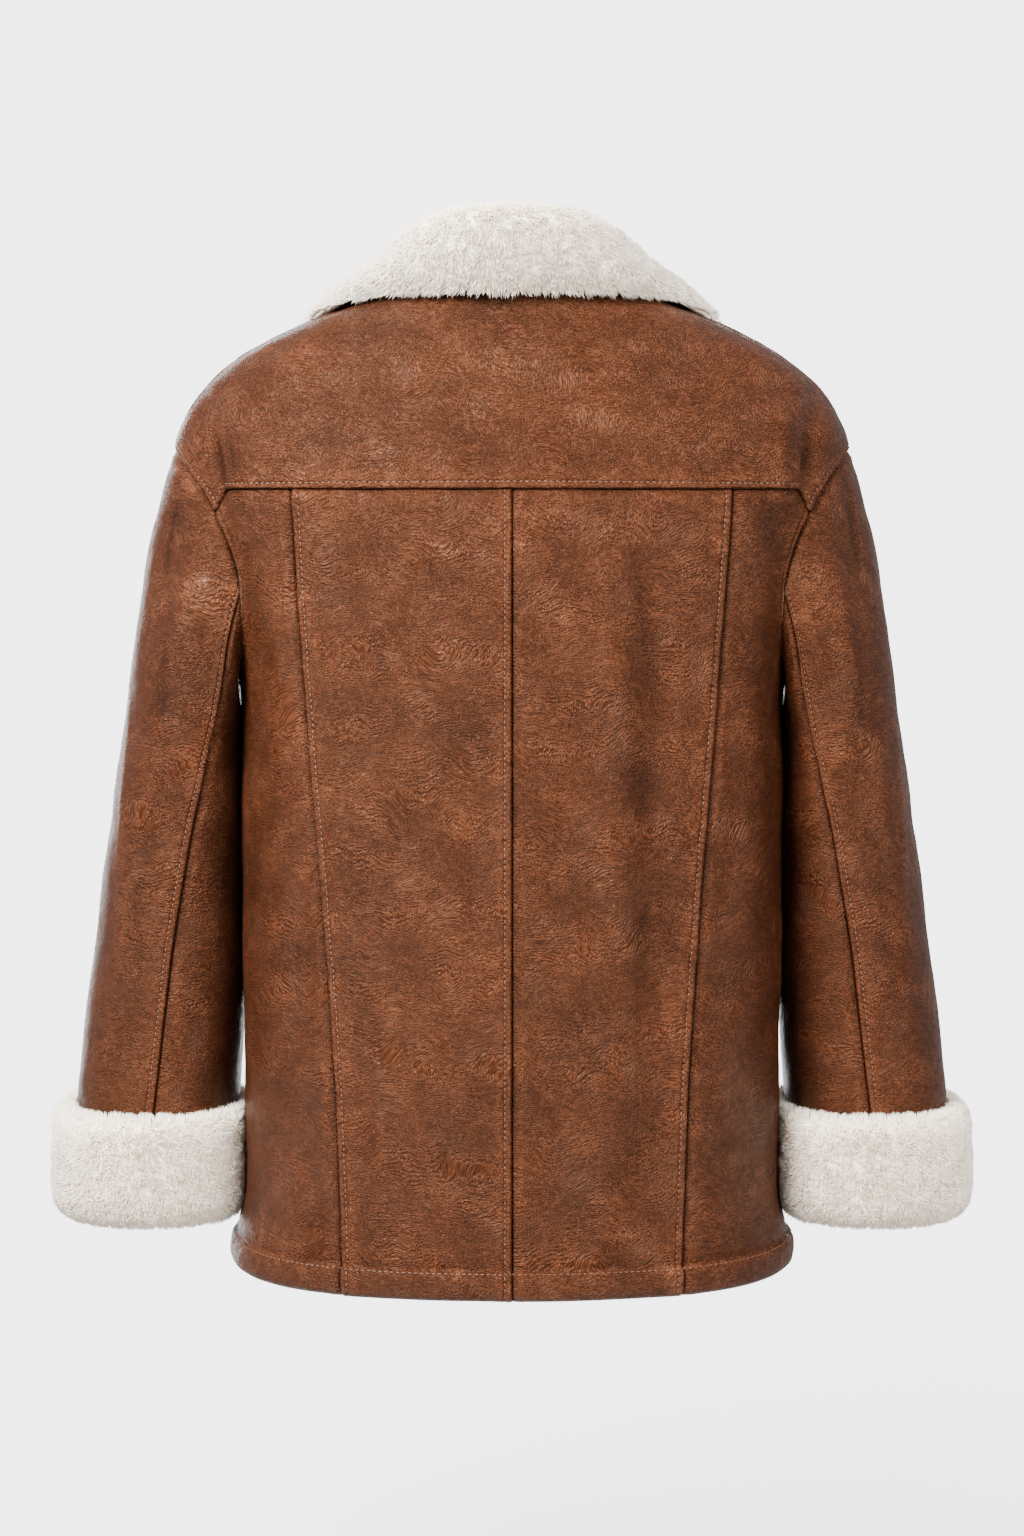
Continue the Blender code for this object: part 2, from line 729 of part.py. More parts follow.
def neck_rim():
    """The left half of the neckline, from the centre back to the collar's front end, through
    the corners of the yoke and the front: angles, heights and how far each is doubled."""
    yoke_angle, yoke_z = yoke_grid()
    front_angle, front_z = front_grid()
    middle = yoke_angle.shape[1] // 2
    angle = np.concatenate([yoke_angle[-1, middle:], front_angle[-1, 1:-1]])
    z = np.concatenate([yoke_z[-1, middle:], front_z[-1, 1:-1]])
    points = torso(angle, z)
    normal = normal_of(torso, angle, z)
    lift = front_lift(angle, z)[:, None]
    share = (points[-2, 0] - COLLAR_END_X) / (points[-2, 0] - points[-1, 0])
    for values in (points, normal, lift, angle):
        values[-1] = values[-2] + (values[-1] - values[-2]) * share
    return points, unit(normal), lift, angle


def collar_grids(skin_points):
    """The collar's outer and inner points, stations by steps, for its left half."""
    rim, normal, lift, neck = neck_rim()
    along = np.gradient(rim, axis=0)
    along[0] = (1, 0, 0)
    above = unit(np.cross(normal, along))
    above *= np.sign(above[:, 2:])
    rim_out = rim + normal * lift * 0.5 + above * COLLAR_SEAM_GAP
    rim_in = rim_out - normal * HIDE
    size = {
        name: smooth(np.degrees(neck), COLLAR["neck_angle"], values)[:, None]
        for name, values in COLLAR.items()
    }
    radial = unit(rim * np.array([1, 1, 0]))
    up = np.array([0, 0, 1.0])
    base = (rim_out + rim_in) / 2
    top = base + up * size["stand"]
    path = [base, base + up * size["stand"] * 0.5 - radial * 0.8, top]
    for step in range(1, COLLAR_ROLL_STEPS + 1):
        turn = math.pi * (1 - step / COLLAR_ROLL_STEPS)
        path.append(top + COLLAR_ROLL * (radial * (1 + math.cos(turn)) + up * math.sin(turn)))
    edge_angle, edge_z = np.radians(size["edge_angle"][:, 0]), size["edge_z"][:, 0]
    edge = torso(edge_angle, edge_z)
    edge += normal_of(torso, edge_angle, edge_z) * (COLLAR_EDGE_THICK / 2 + COLLAR_CLEARANCE)
    start = path[-1]
    for step in range(1, COLLAR_FALL_STEPS + 1):
        share = step / COLLAR_FALL_STEPS
        belly = radial * size["belly"] * math.sin(math.pi * share)
        path.append(start + (edge - start) * share + belly)
    rolled = COLLAR_ROLL_STEPS + 2
    knots = [0, 2, rolled, len(path) - 2.5, len(path) - 1]
    sizes = [COLLAR_STAND_THICK] * 2 + [COLLAR_FALL_THICK] * 2 + [COLLAR_EDGE_THICK]
    thick = np.interp(np.arange(len(path)), knots, sizes)
    grid = np.stack(path, axis=1)
    grid[:, rolled:] = keep_off(skin_points, grid[:, rolled:], thick[rolled:] / 2 + COLLAR_CLEARANCE)
    across = np.gradient(grid, axis=0)
    across[0] = (1, 0, 0)
    half = unit(np.cross(across, np.gradient(grid, axis=1))) * (thick / 2)[:, None]
    outer, inner = grid + half, grid - half
    # On the stand the outer side of the fall is the side towards the neck
    outer[:, 0], inner[:, 0] = rim_in, rim_out
    return outer, inner


def collar(skin_points, finish):
    sides = [np.concatenate([mirrored(side[:0:-1]), side]) for side in collar_grids(skin_points)]
    neck_side, torso_side = [side.transpose(1, 0, 2) for side in sides]
    wall("collar", torso_side, neck_side, finish)


def button(number, finish):
    """A turned button with a rim, seated on the over front at the centre."""
    z = BUTTON_TOP_Z - BUTTON_PITCH * (number - 1)
    place = torso(math.pi, z)
    normal = normal_of(torso, math.pi, z)
    seat = place + normal * (HIDE + OVERLAP_GAP + SEAM_GAP)
    r, t = BUTTON_RADIUS, BUTTON_THICK
    profile = [(0, 0), (r * 0.8, 0), (r, t * 0.4), (r * 0.9, t), (r * 0.7, t * 0.62), (0, t * 0.5)]
    mesh = bmesh.new()
    ring = [mesh.verts.new((x * MM, 0, y * MM)) for x, y in profile]
    edges = [mesh.edges.new(pair) for pair in zip(ring, ring[1:])]
    bmesh.ops.spin(
        mesh, geom=ring + edges, cent=(0, 0, 0), axis=(0, 0, 1), angle=2 * math.pi, steps=16, use_merge=True
    )
    bmesh.ops.remove_doubles(mesh, verts=mesh.verts, dist=1e-6)
    bmesh.ops.recalc_face_normals(mesh, faces=mesh.faces)
    data = bpy.data.meshes.new(f"button_{number}")
    mesh.to_mesh(data)
    mesh.free()
    data.materials.append(finish)
    data.shade_smooth()
    data.set_sharp_from_angle(angle=math.radians(50))
    made = bpy.data.objects.new(f"button_{number}", data)
    bpy.context.scene.collection.objects.link(made)
    made.location = seat * MM
    made.rotation_euler = (math.atan2(-normal[1], normal[2]), 0, 0)


def main():
    for old in list(bpy.data.objects):
        bpy.data.objects.remove(old)
    leather = material("brown_leather", LEATHER, 0.5)
    wool = material("cream_wool", WOOL, 0.95)
    horn = material("dark_horn", HORN, 0.35)
    back_yoke(leather)
    back_panels(leather)
    fronts(leather)
    skin_points = skin()
    sleeve_outer = sleeves(skin_points, leather)
    cuffs(skin_points, sleeve_outer, wool)
    collar(skin_points, wool)
    for number in range(1, BUTTONS + 1):
        button(number, horn)


main()
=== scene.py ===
import math

import bmesh
import bpy
import numpy as np
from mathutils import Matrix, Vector, kdtree


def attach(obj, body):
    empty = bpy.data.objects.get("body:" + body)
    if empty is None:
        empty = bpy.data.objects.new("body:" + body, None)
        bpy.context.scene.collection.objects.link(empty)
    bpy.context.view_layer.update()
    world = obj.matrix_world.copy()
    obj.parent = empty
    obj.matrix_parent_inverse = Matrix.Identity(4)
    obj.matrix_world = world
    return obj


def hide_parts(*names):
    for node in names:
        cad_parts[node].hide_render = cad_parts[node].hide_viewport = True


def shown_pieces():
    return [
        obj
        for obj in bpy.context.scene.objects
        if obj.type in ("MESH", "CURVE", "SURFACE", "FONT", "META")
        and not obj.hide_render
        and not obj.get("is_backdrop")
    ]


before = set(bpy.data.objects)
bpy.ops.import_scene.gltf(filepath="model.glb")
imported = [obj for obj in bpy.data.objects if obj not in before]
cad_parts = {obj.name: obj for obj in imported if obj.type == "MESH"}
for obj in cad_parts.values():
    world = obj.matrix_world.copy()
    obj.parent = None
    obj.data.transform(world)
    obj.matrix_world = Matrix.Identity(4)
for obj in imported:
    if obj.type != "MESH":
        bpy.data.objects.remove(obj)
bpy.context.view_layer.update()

# A shearling jacket in its worn, hollow form, seen from behind. It faces -Y, and +X is the wearer's left.
# Shapes are worked out in millimetres, on the same surfaces as the frame, and scaled when a mesh is made.
mm = 0.001
quarter = math.pi / 2


def readTable(columns, *rows):
    return dict(zip(columns.split(), np.array(rows, float).T))


def smooth(at, knots, values):  # a curve through the knots that never overshoots them
    at = np.asarray(at, float)
    step = np.diff(knots)
    slope = np.diff(values) / step
    tangent = np.concatenate([slope[:1], np.zeros(len(slope) - 1), slope[-1:]])
    same = slope[:-1] * slope[1:] > 0
    total = np.where(same, slope[:-1] + slope[1:], 1.0)
    tangent[1:-1] = np.where(same, 2 * slope[:-1] * slope[1:] / total, 0.0)
    i = np.clip(np.searchsorted(knots, at) - 1, 0, len(step) - 1)
    t = np.clip((at - knots[i]) / step[i], 0, 1)
    pull = tangent[i] * t * (1 - t) ** 2 - tangent[i + 1] * t * t * (1 - t)
    return values[i] + (values[i + 1] - values[i]) * t * t * (3 - 2 * t) + pull * step[i]


def fade(value, start, end):
    t = np.clip((np.asarray(value, float) - start) / (end - start), 0, 1)
    return t * t * (3 - 2 * t)


def unit(vectors):
    return vectors / np.maximum(np.linalg.norm(vectors, axis=-1, keepdims=True), 1e-9)


def dot(one, other):
    return np.sum(one * other, -1, keepdims=True)


def mirrored(points):
    return points * np.array([-1.0, 1.0, 1.0])


# Soft uneven noise: waves in many directions, about size millimetres long, between -1 and 1
def unevenness(points, size, seed, waves=28):
    draw = np.random.default_rng(seed)
    ways = unit(draw.normal(size=(waves, 3))) * (2 * math.pi / (size * draw.uniform(0.7, 1.6, (waves, 1))))
    total = np.zeros(points.shape[:-1])
    for way, start in zip(ways, draw.uniform(0, 2 * math.pi, waves)):
        total += np.sin(points @ way + start)
    return total / math.sqrt(waves)


# The body of the jacket

body = {
    "hemZ": -763.0,
    "tipZ": -137.0,
    "armpitZ": -311.0,
    "armholeSteps": 14,
    "yokeCornerStep": 5,
    "armholeBack": math.radians(33),
    "armholeFront": math.radians(30),
    "yokeSeamZ": -170.0,
    "yokeBend": 0.84,
    "neckSideZ": -14.0,
    "neckHalfWidth": 84.0,
    "neckBackDrop": 8.0,
    "neckFrontDrop": 72.0,
    "overlapGap": 0.6,
    "overlapColumns": (60.0, 29.0, 3.0, -22.0),
    "hide": 6.0,
    "seamGap": 0.15,
    "seamLap": 0.12,
}

torsoRings = readTable(
    "z halfWidth back front squareness",
    (-763, 215, 149, 150, 0.12),
    (-735, 212, 148, 150, 0.12),
    (-700, 206, 148, 150, 0.12),
    (-600, 207, 147, 150, 0.12),
    (-450, 208, 148, 151, 0.12),
    (-330, 208, 148, 150, 0.11),
    (-250, 228, 147, 147, 0.10),
    (-200, 245, 142, 139, 0.09),
    (-160, 254, 134, 128, 0.08),
    (-137, 256, 128, 120, 0.07),
    (-115, 248, 121, 112, 0.06),
    (-92, 232, 112, 103, 0.05),
    (-69, 205, 104, 95, 0.05),
    (-46, 162, 96, 88, 0.05),
    (-31, 123, 91, 83, 0.05),
    (-20.5, 99, 87, 79, 0.05),
    (-14, 84, 84, 76, 0.05),
)
princessSeam = readTable("z x", (-763, 125), (-617, 130), (-470, 139), (-325, 150), (-170, 161))
hemRoll = readTable(
    "height out inside",
    (0, -0.5, 7.5),
    (2.5, 3.2, 9.5),
    (8, 4.6, 10),
    (15, 4.6, 10),
    (20, 3.2, 9.5),
    (23, -0.6, 8),
    (27, 0, 6),
)
# The large folds are the frame's own. side is 1 for the back and -1 for the front
folds = readTable(
    "side xUp zUp xLow zLow halfWidth height",
    (1, 176, -150, 162, -500, 15, 5.0),
    (1, -181, -150, -174, -580, 15, 5.0),
    (1, -76, -180, -82, -700, 17, 5.0),
    (1, -106, -185, -108, -690, 19, -5.0),
    (1, 142, -190, 122, -560, 16, 3.0),
    (1, 60, -480, 20, -740, 34, 2.5),
    (1, 232, -90, 214, -190, 9, -5.0),
    (1, -230, -90, -212, -190, 9, -5.0),
    (1, 203, -100, 196, -186, 13, 3.5),
    (1, -203, -100, -196, -186, 13, 3.5),
    (-1, 172, -240, 160, -560, 20, 4.0),
    (-1, -176, -240, -160, -520, 20, 4.0),
    (-1, 112, -330, 104, -720, 26, -3.0),
    (-1, -106, -300, -110, -700, 24, -3.0),
    (-1, 226, -110, 206, -230, 11, -4.5),
    (-1, -226, -110, -206, -230, 11, -4.5),
)
# Finer creases that only the hide's surface has
creases = readTable(
    "side xUp zUp xLow zLow halfWidth height",
    (1, 221, -128, 210, -178, 3.2, -1.5),
    (1, 211, -120, 203, -180, 3.6, -1.3),
    (1, 216, -118, 207, -176, 4.0, 1.2),
    (1, -221, -124, -212, -176, 3.4, -1.4),
    (1, -209, -118, -203, -182, 3.6, -1.1),
    (1, -215, -120, -207, -180, 4.0, 1.1),
    (1, 176, -205, 168, -330, 5.0, 0.8),
    (1, -88, -200, -100, -300, 6.0, -0.9),
    (1, -60, -210, -76, -330, 6.0, 0.9),
    (1, -118, -240, -122, -420, 7.0, 0.8),
    (1, -150, -210, -152, -330, 6.0, -0.7),
    (1, 96, -560, 40, -720, 8.0, 0.8),
    (1, -30, -600, -90, -735, 9.0, 0.7),
    (1, 150, -600, 138, -720, 9.0, -0.7),
    (-1, 120, -250, 96, -420, 7.0, -0.9),
    (-1, -126, -260, -100, -400, 7.0, -0.8),
    (-1, 150, -560, 128, -700, 9.0, 0.8),
    (-1, -140, -520, -120, -690, 9.0, 0.8),
)


def ringSize(z, name):
    return smooth(z, torsoRings["z"], torsoRings[name])


def plainTorso(angle, z):
    s, c = np.sin(angle), np.cos(angle)
    q = ringSize(z, "squareness")
    depth = np.where(c >= 0, ringSize(z, "back"), ringSize(z, "front"))
    x = ringSize(z, "halfWidth") * s * (1 + q * c * c)
    return np.stack([x, depth * c * (1 + q * s * s), np.asarray(z, float) + 0 * x], -1)


def normalOf(surface, angle, z, small=1e-3):
    across = surface(angle + small, z) - surface(angle - small, z)
    up = surface(angle, z + small) - surface(angle, z - small)
    return unit(np.cross(up, across))


def swell(x, z, side, lines):
    total = np.zeros(np.broadcast(x, z, side).shape)
    for i in range(len(lines["side"])):
        fold = {name: values[i] for name, values in lines.items()}
        down = np.clip((fold["zUp"] - z) / (fold["zUp"] - fold["zLow"]), 0, 1)
        line = fold["xUp"] + (fold["xLow"] - fold["xUp"]) * down
        shape = np.exp(-(((x - line) / fold["halfWidth"]) ** 2))
        total += (side == fold["side"]) * fold["height"] * shape * np.sin(math.pi * down) ** 0.8
    return total


def torso(angle, z):
    angle, z = np.broadcast_arrays(np.asarray(angle, float), np.asarray(z, float))
    flat = plainTorso(angle, z)
    side = np.where(np.cos(angle) >= 0, 1.0, -1.0)
    out = swell(flat[..., 0], z, side, folds) * fade(np.abs(np.cos(angle)), 0.03, 0.3)
    return flat + normalOf(plainTorso, angle, z) * out[..., None]


def angleAt(x, z, front=False):
    share = np.clip(np.asarray(x, float) / ringSize(z, "halfWidth"), -1, 1)
    q = ringSize(z, "squareness")
    s = share / (1 + q)
    for _ in range(30):
        s = np.clip(share / (1 + q * (1 - s * s)), -1, 1)
    angle = np.arcsin(s)
    return math.pi - angle if front else angle


armholeMiddle = (body["tipZ"] + body["armpitZ"]) / 2
armholeHalf = (body["tipZ"] - body["armpitZ"]) / 2


def armholeLevels(finer=1):
    count = body["armholeSteps"] * finer
    return armholeMiddle + armholeHalf * np.cos(math.pi * np.arange(count, -1, -1) / count)


def armholeBow(z):
    return np.sqrt(np.clip(1 - ((z - armholeMiddle) / armholeHalf) ** 2, 0, 1))


def backLimit(z):
    return quarter - body["armholeBack"] * armholeBow(z)


def frontLimit(z):
    return quarter + body["armholeFront"] * armholeBow(z)


cornerZ = float(armholeLevels()[body["armholeSteps"] - body["yokeCornerStep"]])


def yokeSeamZ(share):
    return body["yokeSeamZ"] + (cornerZ - body["yokeSeamZ"]) * fade(np.abs(share), body["yokeBend"], 1.0)


def neckCurve():
    t = np.linspace(0, 1, 91)
    backX = body["neckHalfWidth"] * np.sin(t * quarter)
    backZ = body["neckSideZ"] - body["neckBackDrop"] * np.cos(t * quarter) ** 2
    frontX = body["neckHalfWidth"] * np.cos(t * quarter)
    frontZ = body["neckSideZ"] - body["neckFrontDrop"] * np.sin(t * quarter) ** 1.3
    angles = np.concatenate([angleAt(backX, backZ), angleAt(frontX, frontZ, True)[1:]])
    return angles, np.concatenate([backZ, frontZ[1:]])


neckAngles, neckHeights = neckCurve()


def neckZ(angle):
    angle = np.abs(np.asarray(angle, float))
    return np.interp(np.where(angle > math.pi, 2 * math.pi - angle, angle), neckAngles, neckHeights)


def overlapShare(x):  # 1 where the fronts lie on each other
    lone, doubled = body["overlapColumns"][:2]
    return np.clip((lone - x) / (lone - doubled), 0, 1)


def frontLift(angle, z):
    doubled = overlapShare(np.abs(plainTorso(angle, z)[..., 0]))
    return (body["hide"] + body["overlapGap"]) * doubled * (np.cos(angle) < 0)


def hemOffsets(z):
    height = np.asarray(z) - body["hemZ"]
    inside = smooth(np.minimum(height, 27), hemRoll["height"], hemRoll["inside"])
    return smooth(np.minimum(height, 27), hemRoll["height"], hemRoll["out"]), inside


# Dense tables of angle and height for each panel, by the same rules as the frame's rows and columns.
# A place on a panel is then a row and a column number in them, whole or not

finer = 6


def levelsBetween(start, end, step):
    return np.linspace(start, end, int(round(abs(end - start) / step)) + 1)


def rowsBetween(levels, near, bottom, top):
    even = np.linspace(0, 1, len(levels))[:, None]
    cut = ((levels - levels[0]) / (levels[-1] - levels[0]))[:, None]
    return bottom + (even + (cut - even) * near) * (top - bottom)


def princessAngle(z):
    return angleAt(smooth(z, princessSeam["z"], princessSeam["x"]), z)


def spread(share, limit):
    return quarter * share - np.sign(share) * (quarter - limit) * share**2


def backShares():
    limit = float(backLimit(cornerZ))
    tries = np.linspace(0, 1, 2001)
    princess = float(np.interp(princessAngle(body["yokeSeamZ"]), spread(tries, limit), tries))
    return princess * np.linspace(0, 1, 37), princess + (1 - princess) * np.linspace(0, 1, 31)


def nearArmhole(share):
    return fade(np.abs(share), 0.55, 1.0)


def backTable(kind):
    armhole = armholeLevels(finer)[: (body["armholeSteps"] - body["yokeCornerStep"]) * finer + 1]
    lower = levelsBetween(body["hemZ"], body["armpitZ"], 8)[:-1]
    limit = np.concatenate([np.full(len(lower), quarter), backLimit(armhole)])[:, None]
    centre, side = backShares()
    shares = centre if kind == "centre" else side
    upper = rowsBetween(armhole, nearArmhole(shares), body["armpitZ"], yokeSeamZ(shares))
    z = np.concatenate([np.repeat(lower[:, None], len(shares), axis=1), upper])
    princess = princessAngle(z[:, -1 if kind == "centre" else 0])[:, None]
    top = spread(shares, limit[-1])
    along = ((top - top[0]) / (top[-1] - top[0]))[None, :]
    angle = princess * along if kind == "centre" else princess + (limit - princess) * along
    return angle, z


shoulderLevels = np.array([-122.0, -107, -91, -76, -61, -47, -35, -24, -14])


def shoulderRows():
    knots = np.concatenate([[body["tipZ"]], shoulderLevels])
    at = np.linspace(0, len(knots) - 1, (len(knots) - 1) * finer + 1)[1:]
    return smooth(at, np.arange(len(knots), dtype=float), knots)


def yokeTable():
    armhole = armholeLevels(finer)[(body["armholeSteps"] - body["yokeCornerStep"]) * finer :]
    levels = np.concatenate([armhole, shoulderRows()])
    centre, side = backShares()
    half = np.concatenate([centre, side[1:]])
    shares = np.concatenate([-half[:0:-1], half])
    limit = np.where(levels < body["tipZ"], backLimit(levels), quarter)[:, None]
    z = rowsBetween(levels, nearArmhole(shares), yokeSeamZ(shares), neckZ(shares * quarter))
    return spread(shares, limit), z


def frontTable():
    lower = levelsBetween(body["hemZ"], body["armpitZ"], 8)[:-1]
    levels = np.concatenate([armholeLevels(finer), shoulderRows()])
    limit = np.where(levels < body["tipZ"], frontLimit(levels), quarter)
    limit = np.concatenate([np.full(len(lower), quarter), limit])[:, None]
    spaced = np.linspace(0, 1, 43)[None, :-1]
    knots = np.array(body["overlapColumns"])
    edgeX = np.interp(np.linspace(0, 3, 19), np.arange(4), knots)
    top = np.full(spaced.shape[1] + len(edgeX), body["neckSideZ"])
    near = 1.0
    for _ in range(6):
        upper = rowsBetween(levels, near, body["armpitZ"], top)
        z = np.concatenate([np.repeat(lower[:, None], len(top), axis=1), upper])
        edges = angleAt(edgeX, z[:, spaced.shape[1] :], True)
        angle = np.concatenate([quarter + (edges[:, :1] - quarter) * spaced, edges], axis=1)
        along = (angle - quarter) / (edges[:, -1:] - quarter)
        near = nearArmhole(1 - along)[len(lower) :]
        top = neckZ(angle[-1])
    return angle + (limit - quarter) * (1 - along) ** 2, z


# Laying out a panel: fine rows and columns, closest together beside the edges, where the hide is folded
# and sewn. A place function gives the surface at a row and a column number

sewing = {
    "beside": np.array([0, 0.25, 0.7, 1.3, 2.2, 3.3, 4.4, 5.2, 6.0, 7.2, 9.0, 11.5]),  # mm from an edge
    "stitchAt": 7,  # which of those the stitch line follows
    "hemRows": np.array(
        [0, 0.6, 1.3, 2.5, 4.2, 6.5, 9.5, 12.5, 15.5, 17.6, 19.2, 20.6, 22, 23.5, 25.4, 28.5]
    ),
    "hemStitchAt": 11,
    "turnedUp": 15,  # how many of the hem's rows have leather inside too
    "plainRows": np.array([0, 1.5, 4.0]),
}


def between(grid, u, v):  # linear, in a dense table
    i = np.clip(u.astype(int), 0, grid.shape[0] - 2)
    j = np.clip(v.astype(int), 0, grid.shape[1] - 2)
    s, t = u - i, v - j
    low = grid[i, j] * (1 - t) + grid[i, j + 1] * t
    return low * (1 - s) + (grid[i + 1, j] * (1 - t) + grid[i + 1, j + 1] * t) * s


def curveWeights(t):
    return (
        0.5 * (-t + 2 * t * t - t**3),
        0.5 * (2 - 5 * t * t + 3 * t**3),
        0.5 * (t + 4 * t * t - 3 * t**3),
        0.5 * (-t * t + t**3),
    )


def curved(grid, u, v):  # smooth, in a coarse grid of points
    rows = np.concatenate([2 * grid[:1] - grid[1:2], grid, 2 * grid[-1:] - grid[-2:-1]])
    first, last = 2 * rows[:, :1] - rows[:, 1:2], 2 * rows[:, -1:] - rows[:, -2:-1]
    padded = np.concatenate([first, rows, last], axis=1)
    i = np.clip(u.astype(int), 0, grid.shape[0] - 2)
    j = np.clip(v.astype(int), 0, grid.shape[1] - 2)
    down, across = curveWeights(u - i), curveWeights(v - j)
    total = 0
    for a in range(4):
        for b in range(4):
            total = total + (down[a] * across[b])[..., None] * padded[i + a, j + b]
    return total


def walked(points, axis):  # distance along a grid's lines
    steps = np.linalg.norm(np.diff(points, axis=axis), axis=-1)
    start = np.zeros_like(np.take(steps, [0], axis))
    return np.concatenate([start, np.cumsum(steps, axis=axis)], axis=axis)


def stations(lengths, near, far, cell):
    inner = lengths - near[-1] - far[-1]
    count = max(2, int(round(float(inner.mean()) / cell)))
    middle = near[-1] + inner[:, None] * np.linspace(0, 1, count + 1)[None, 1:-1]
    ends = lengths[:, None] - far[::-1][None, :]
    return np.concatenate([np.repeat(near[None, :], len(lengths), axis=0), middle, ends], axis=1)


def layOut(place, rowCount, columnCount, cell, start, end, bottom, top):
    u = np.linspace(0, rowCount - 1, (rowCount - 1) * 2 + 1)
    v = np.linspace(0, columnCount - 1, (columnCount - 1) * 2 + 1)
    uu, vv = np.meshgrid(u, v, indexing="ij")
    length = walked(place(uu, vv), 1)
    want = stations(length[:, -1], start, end, cell)
    at = np.array([np.interp(want[i], length[i], v) for i in range(len(u))])
    uu = np.repeat(u[:, None], at.shape[1], axis=1)
    up = walked(place(uu, at), 0)
    rise = stations(up[-1], bottom, top, cell).T
    columns = range(at.shape[1])
    uAt = np.stack([np.interp(rise[:, k], up[:, k], u) for k in columns], 1)
    vAt = np.stack([np.interp(uAt[:, k], u, at[:, k]) for k in columns], 1)
    across = np.stack([np.interp(uAt[:, k], u, want[:, k]) for k in columns], 1)
    width = np.stack([np.interp(uAt[:, k], u, length[:, -1]) for k in columns], 1)
    return {
        "u": uAt,
        "v": vAt,
        "start": across,
        "end": width - across,
        "bottom": rise,
        "top": up[-1][None, :] - rise,
    }


# How the hide's surface rises beside each kind of edge, by distance from it, in millimetres
profiles = {
    # folded edge lapped over its neighbour and topstitched
    "over": readTable(
        "from height",
        (0, -1.5), (0.25, -0.3), (0.7, 0.65), (1.3, 1.15), (2.2, 1.4), (3.3, 1.35), (4.4, 0.85),
        (5.2, 0.15), (6.0, 0.65), (7.2, 1.05), (9, 0.95), (12, 0.5), (18, 0.1), (26, 0),
    ),
    # the edge that lies beneath it
    "under": readTable(
        "from height",
        (0, -2.4), (0.25, -2.1), (0.7, -1.5), (1.3, -1.0), (2.2, -0.55), (3.3, -0.2), (5.2, 0.25),
        (7.2, 0.55), (9.5, 0.45), (14, 0.1), (20, 0),
    ),
    # two edges sewn face to face and turned in
    "plain": readTable(
        "from height",
        (0, -1.0), (0.25, -0.7), (0.7, -0.35), (1.3, -0.1), (2.2, 0.1), (3.3, 0.25), (5.2, 0.3),
        (9, 0.2), (15, 0),
    ),
    # a free folded edge with one row of stitches
    "free": readTable(
        "from height",
        (0, -2.2), (0.25, -1.2), (0.7, -0.5), (1.3, -0.1), (2.2, 0.15), (3.3, 0.15), (4.4, -0.15),
        (5.2, -0.6), (6.0, -0.2), (7.2, 0.1), (11, 0),
    ),
    "none": readTable("from height", (0, 0), (10, 0)),
}


def profile(kind, distance):
    rows = profiles[kind]
    return np.interp(distance, rows["from"], rows["height"])


# Stitching puckers the hide beside it, most of all from "full" mm away, and a plain seam does so less
puckers = {"from": 2, "full": 6, "reach": 19.0, "height": 0.32, "length": 11.0, "plain": 0.35}
waviness = {"large": 0.45, "largeSize": 62, "small": 0.16, "smallSize": 21}


def leatherRelief(points, spots, kinds, change=None):
    # change gives, by height z, how far each end has passed from its first kind of edge to its second
    total = np.zeros(points.shape[:-1])
    for edge, kind in kinds.items():
        pair = kind if isinstance(kind, tuple) else (kind, kind)
        share = change(points[..., 2]) if isinstance(kind, tuple) else 0.0
        total += profile(pair[0], spots[edge]) * (1 - share) + profile(pair[1], spots[edge]) * share
        sewn = [1.0 if name in ("over", "under", "free") else puckers["plain"] for name in pair]
        strength = sewn[0] * (1 - share) + sewn[1] * share
        near = fade(spots[edge], puckers["from"], puckers["full"])
        near = near * (1 - fade(spots[edge], puckers["full"], puckers["reach"])) * strength
        total += near * puckers["height"] * unevenness(points, puckers["length"], 3)
    large = waviness["large"] * unevenness(points, waviness["largeSize"], 5)
    return total + (large + waviness["small"] * unevenness(points, waviness["smallSize"], 6))


# Meshes

def newMesh(name, points, faces, materials, faceSlots=None, smoothAngle=50):
    mesh = bpy.data.meshes.new(name)
    mesh.from_pydata((np.asarray(points) * mm).tolist(), [], faces)
    for material in materials:
        mesh.materials.append(material)
    if faceSlots is not None:
        mesh.polygons.foreach_set("material_index", np.asarray(faceSlots, np.int32))
    mesh.shade_smooth()
    mesh.set_sharp_from_angle(angle=math.radians(smoothAngle))
    piece = bpy.data.objects.new(name, mesh)
    bpy.context.scene.collection.objects.link(piece)
    return piece


def faceOutward(piece):
    shape = bmesh.new()
    shape.from_mesh(piece.data)
    bmesh.ops.recalc_face_normals(shape, faces=shape.faces)
    shape.to_mesh(piece.data)
    shape.free()


def corners(grid):  # of each cell
    return grid[:-1, :-1], grid[:-1, 1:], grid[1:, 1:], grid[1:, :-1]


def quadsOf(*around):
    return np.stack(around, -1).reshape(-1, 4)


def treeOf(points):  # for finding the nearest of them
    tree = kdtree.KDTree(len(points))
    for i, point in enumerate(points):
        tree.insert(point, i)
    tree.balance()
    return tree


def addNumbers(piece, name, values):  # one number a vertex, for the material to read
    numbers = piece.data.attributes.new(name, "FLOAT", "POINT")
    numbers.data.foreach_set("value", np.asarray(values, np.float32))


def addFlatMap(piece, places):  # the cut's flat map, in metres
    layer = piece.data.uv_layers.new(name="cut")
    vertices = np.empty(len(piece.data.loops), np.int32)
    piece.data.loops.foreach_get("vertex_index", vertices)
    layer.data.foreach_set("uv", (np.asarray(places)[vertices] * mm).astype(np.float32).ravel())


def kept(count, step):
    return np.unique(np.concatenate([np.arange(0, count - 1, step), [count - 1]]))


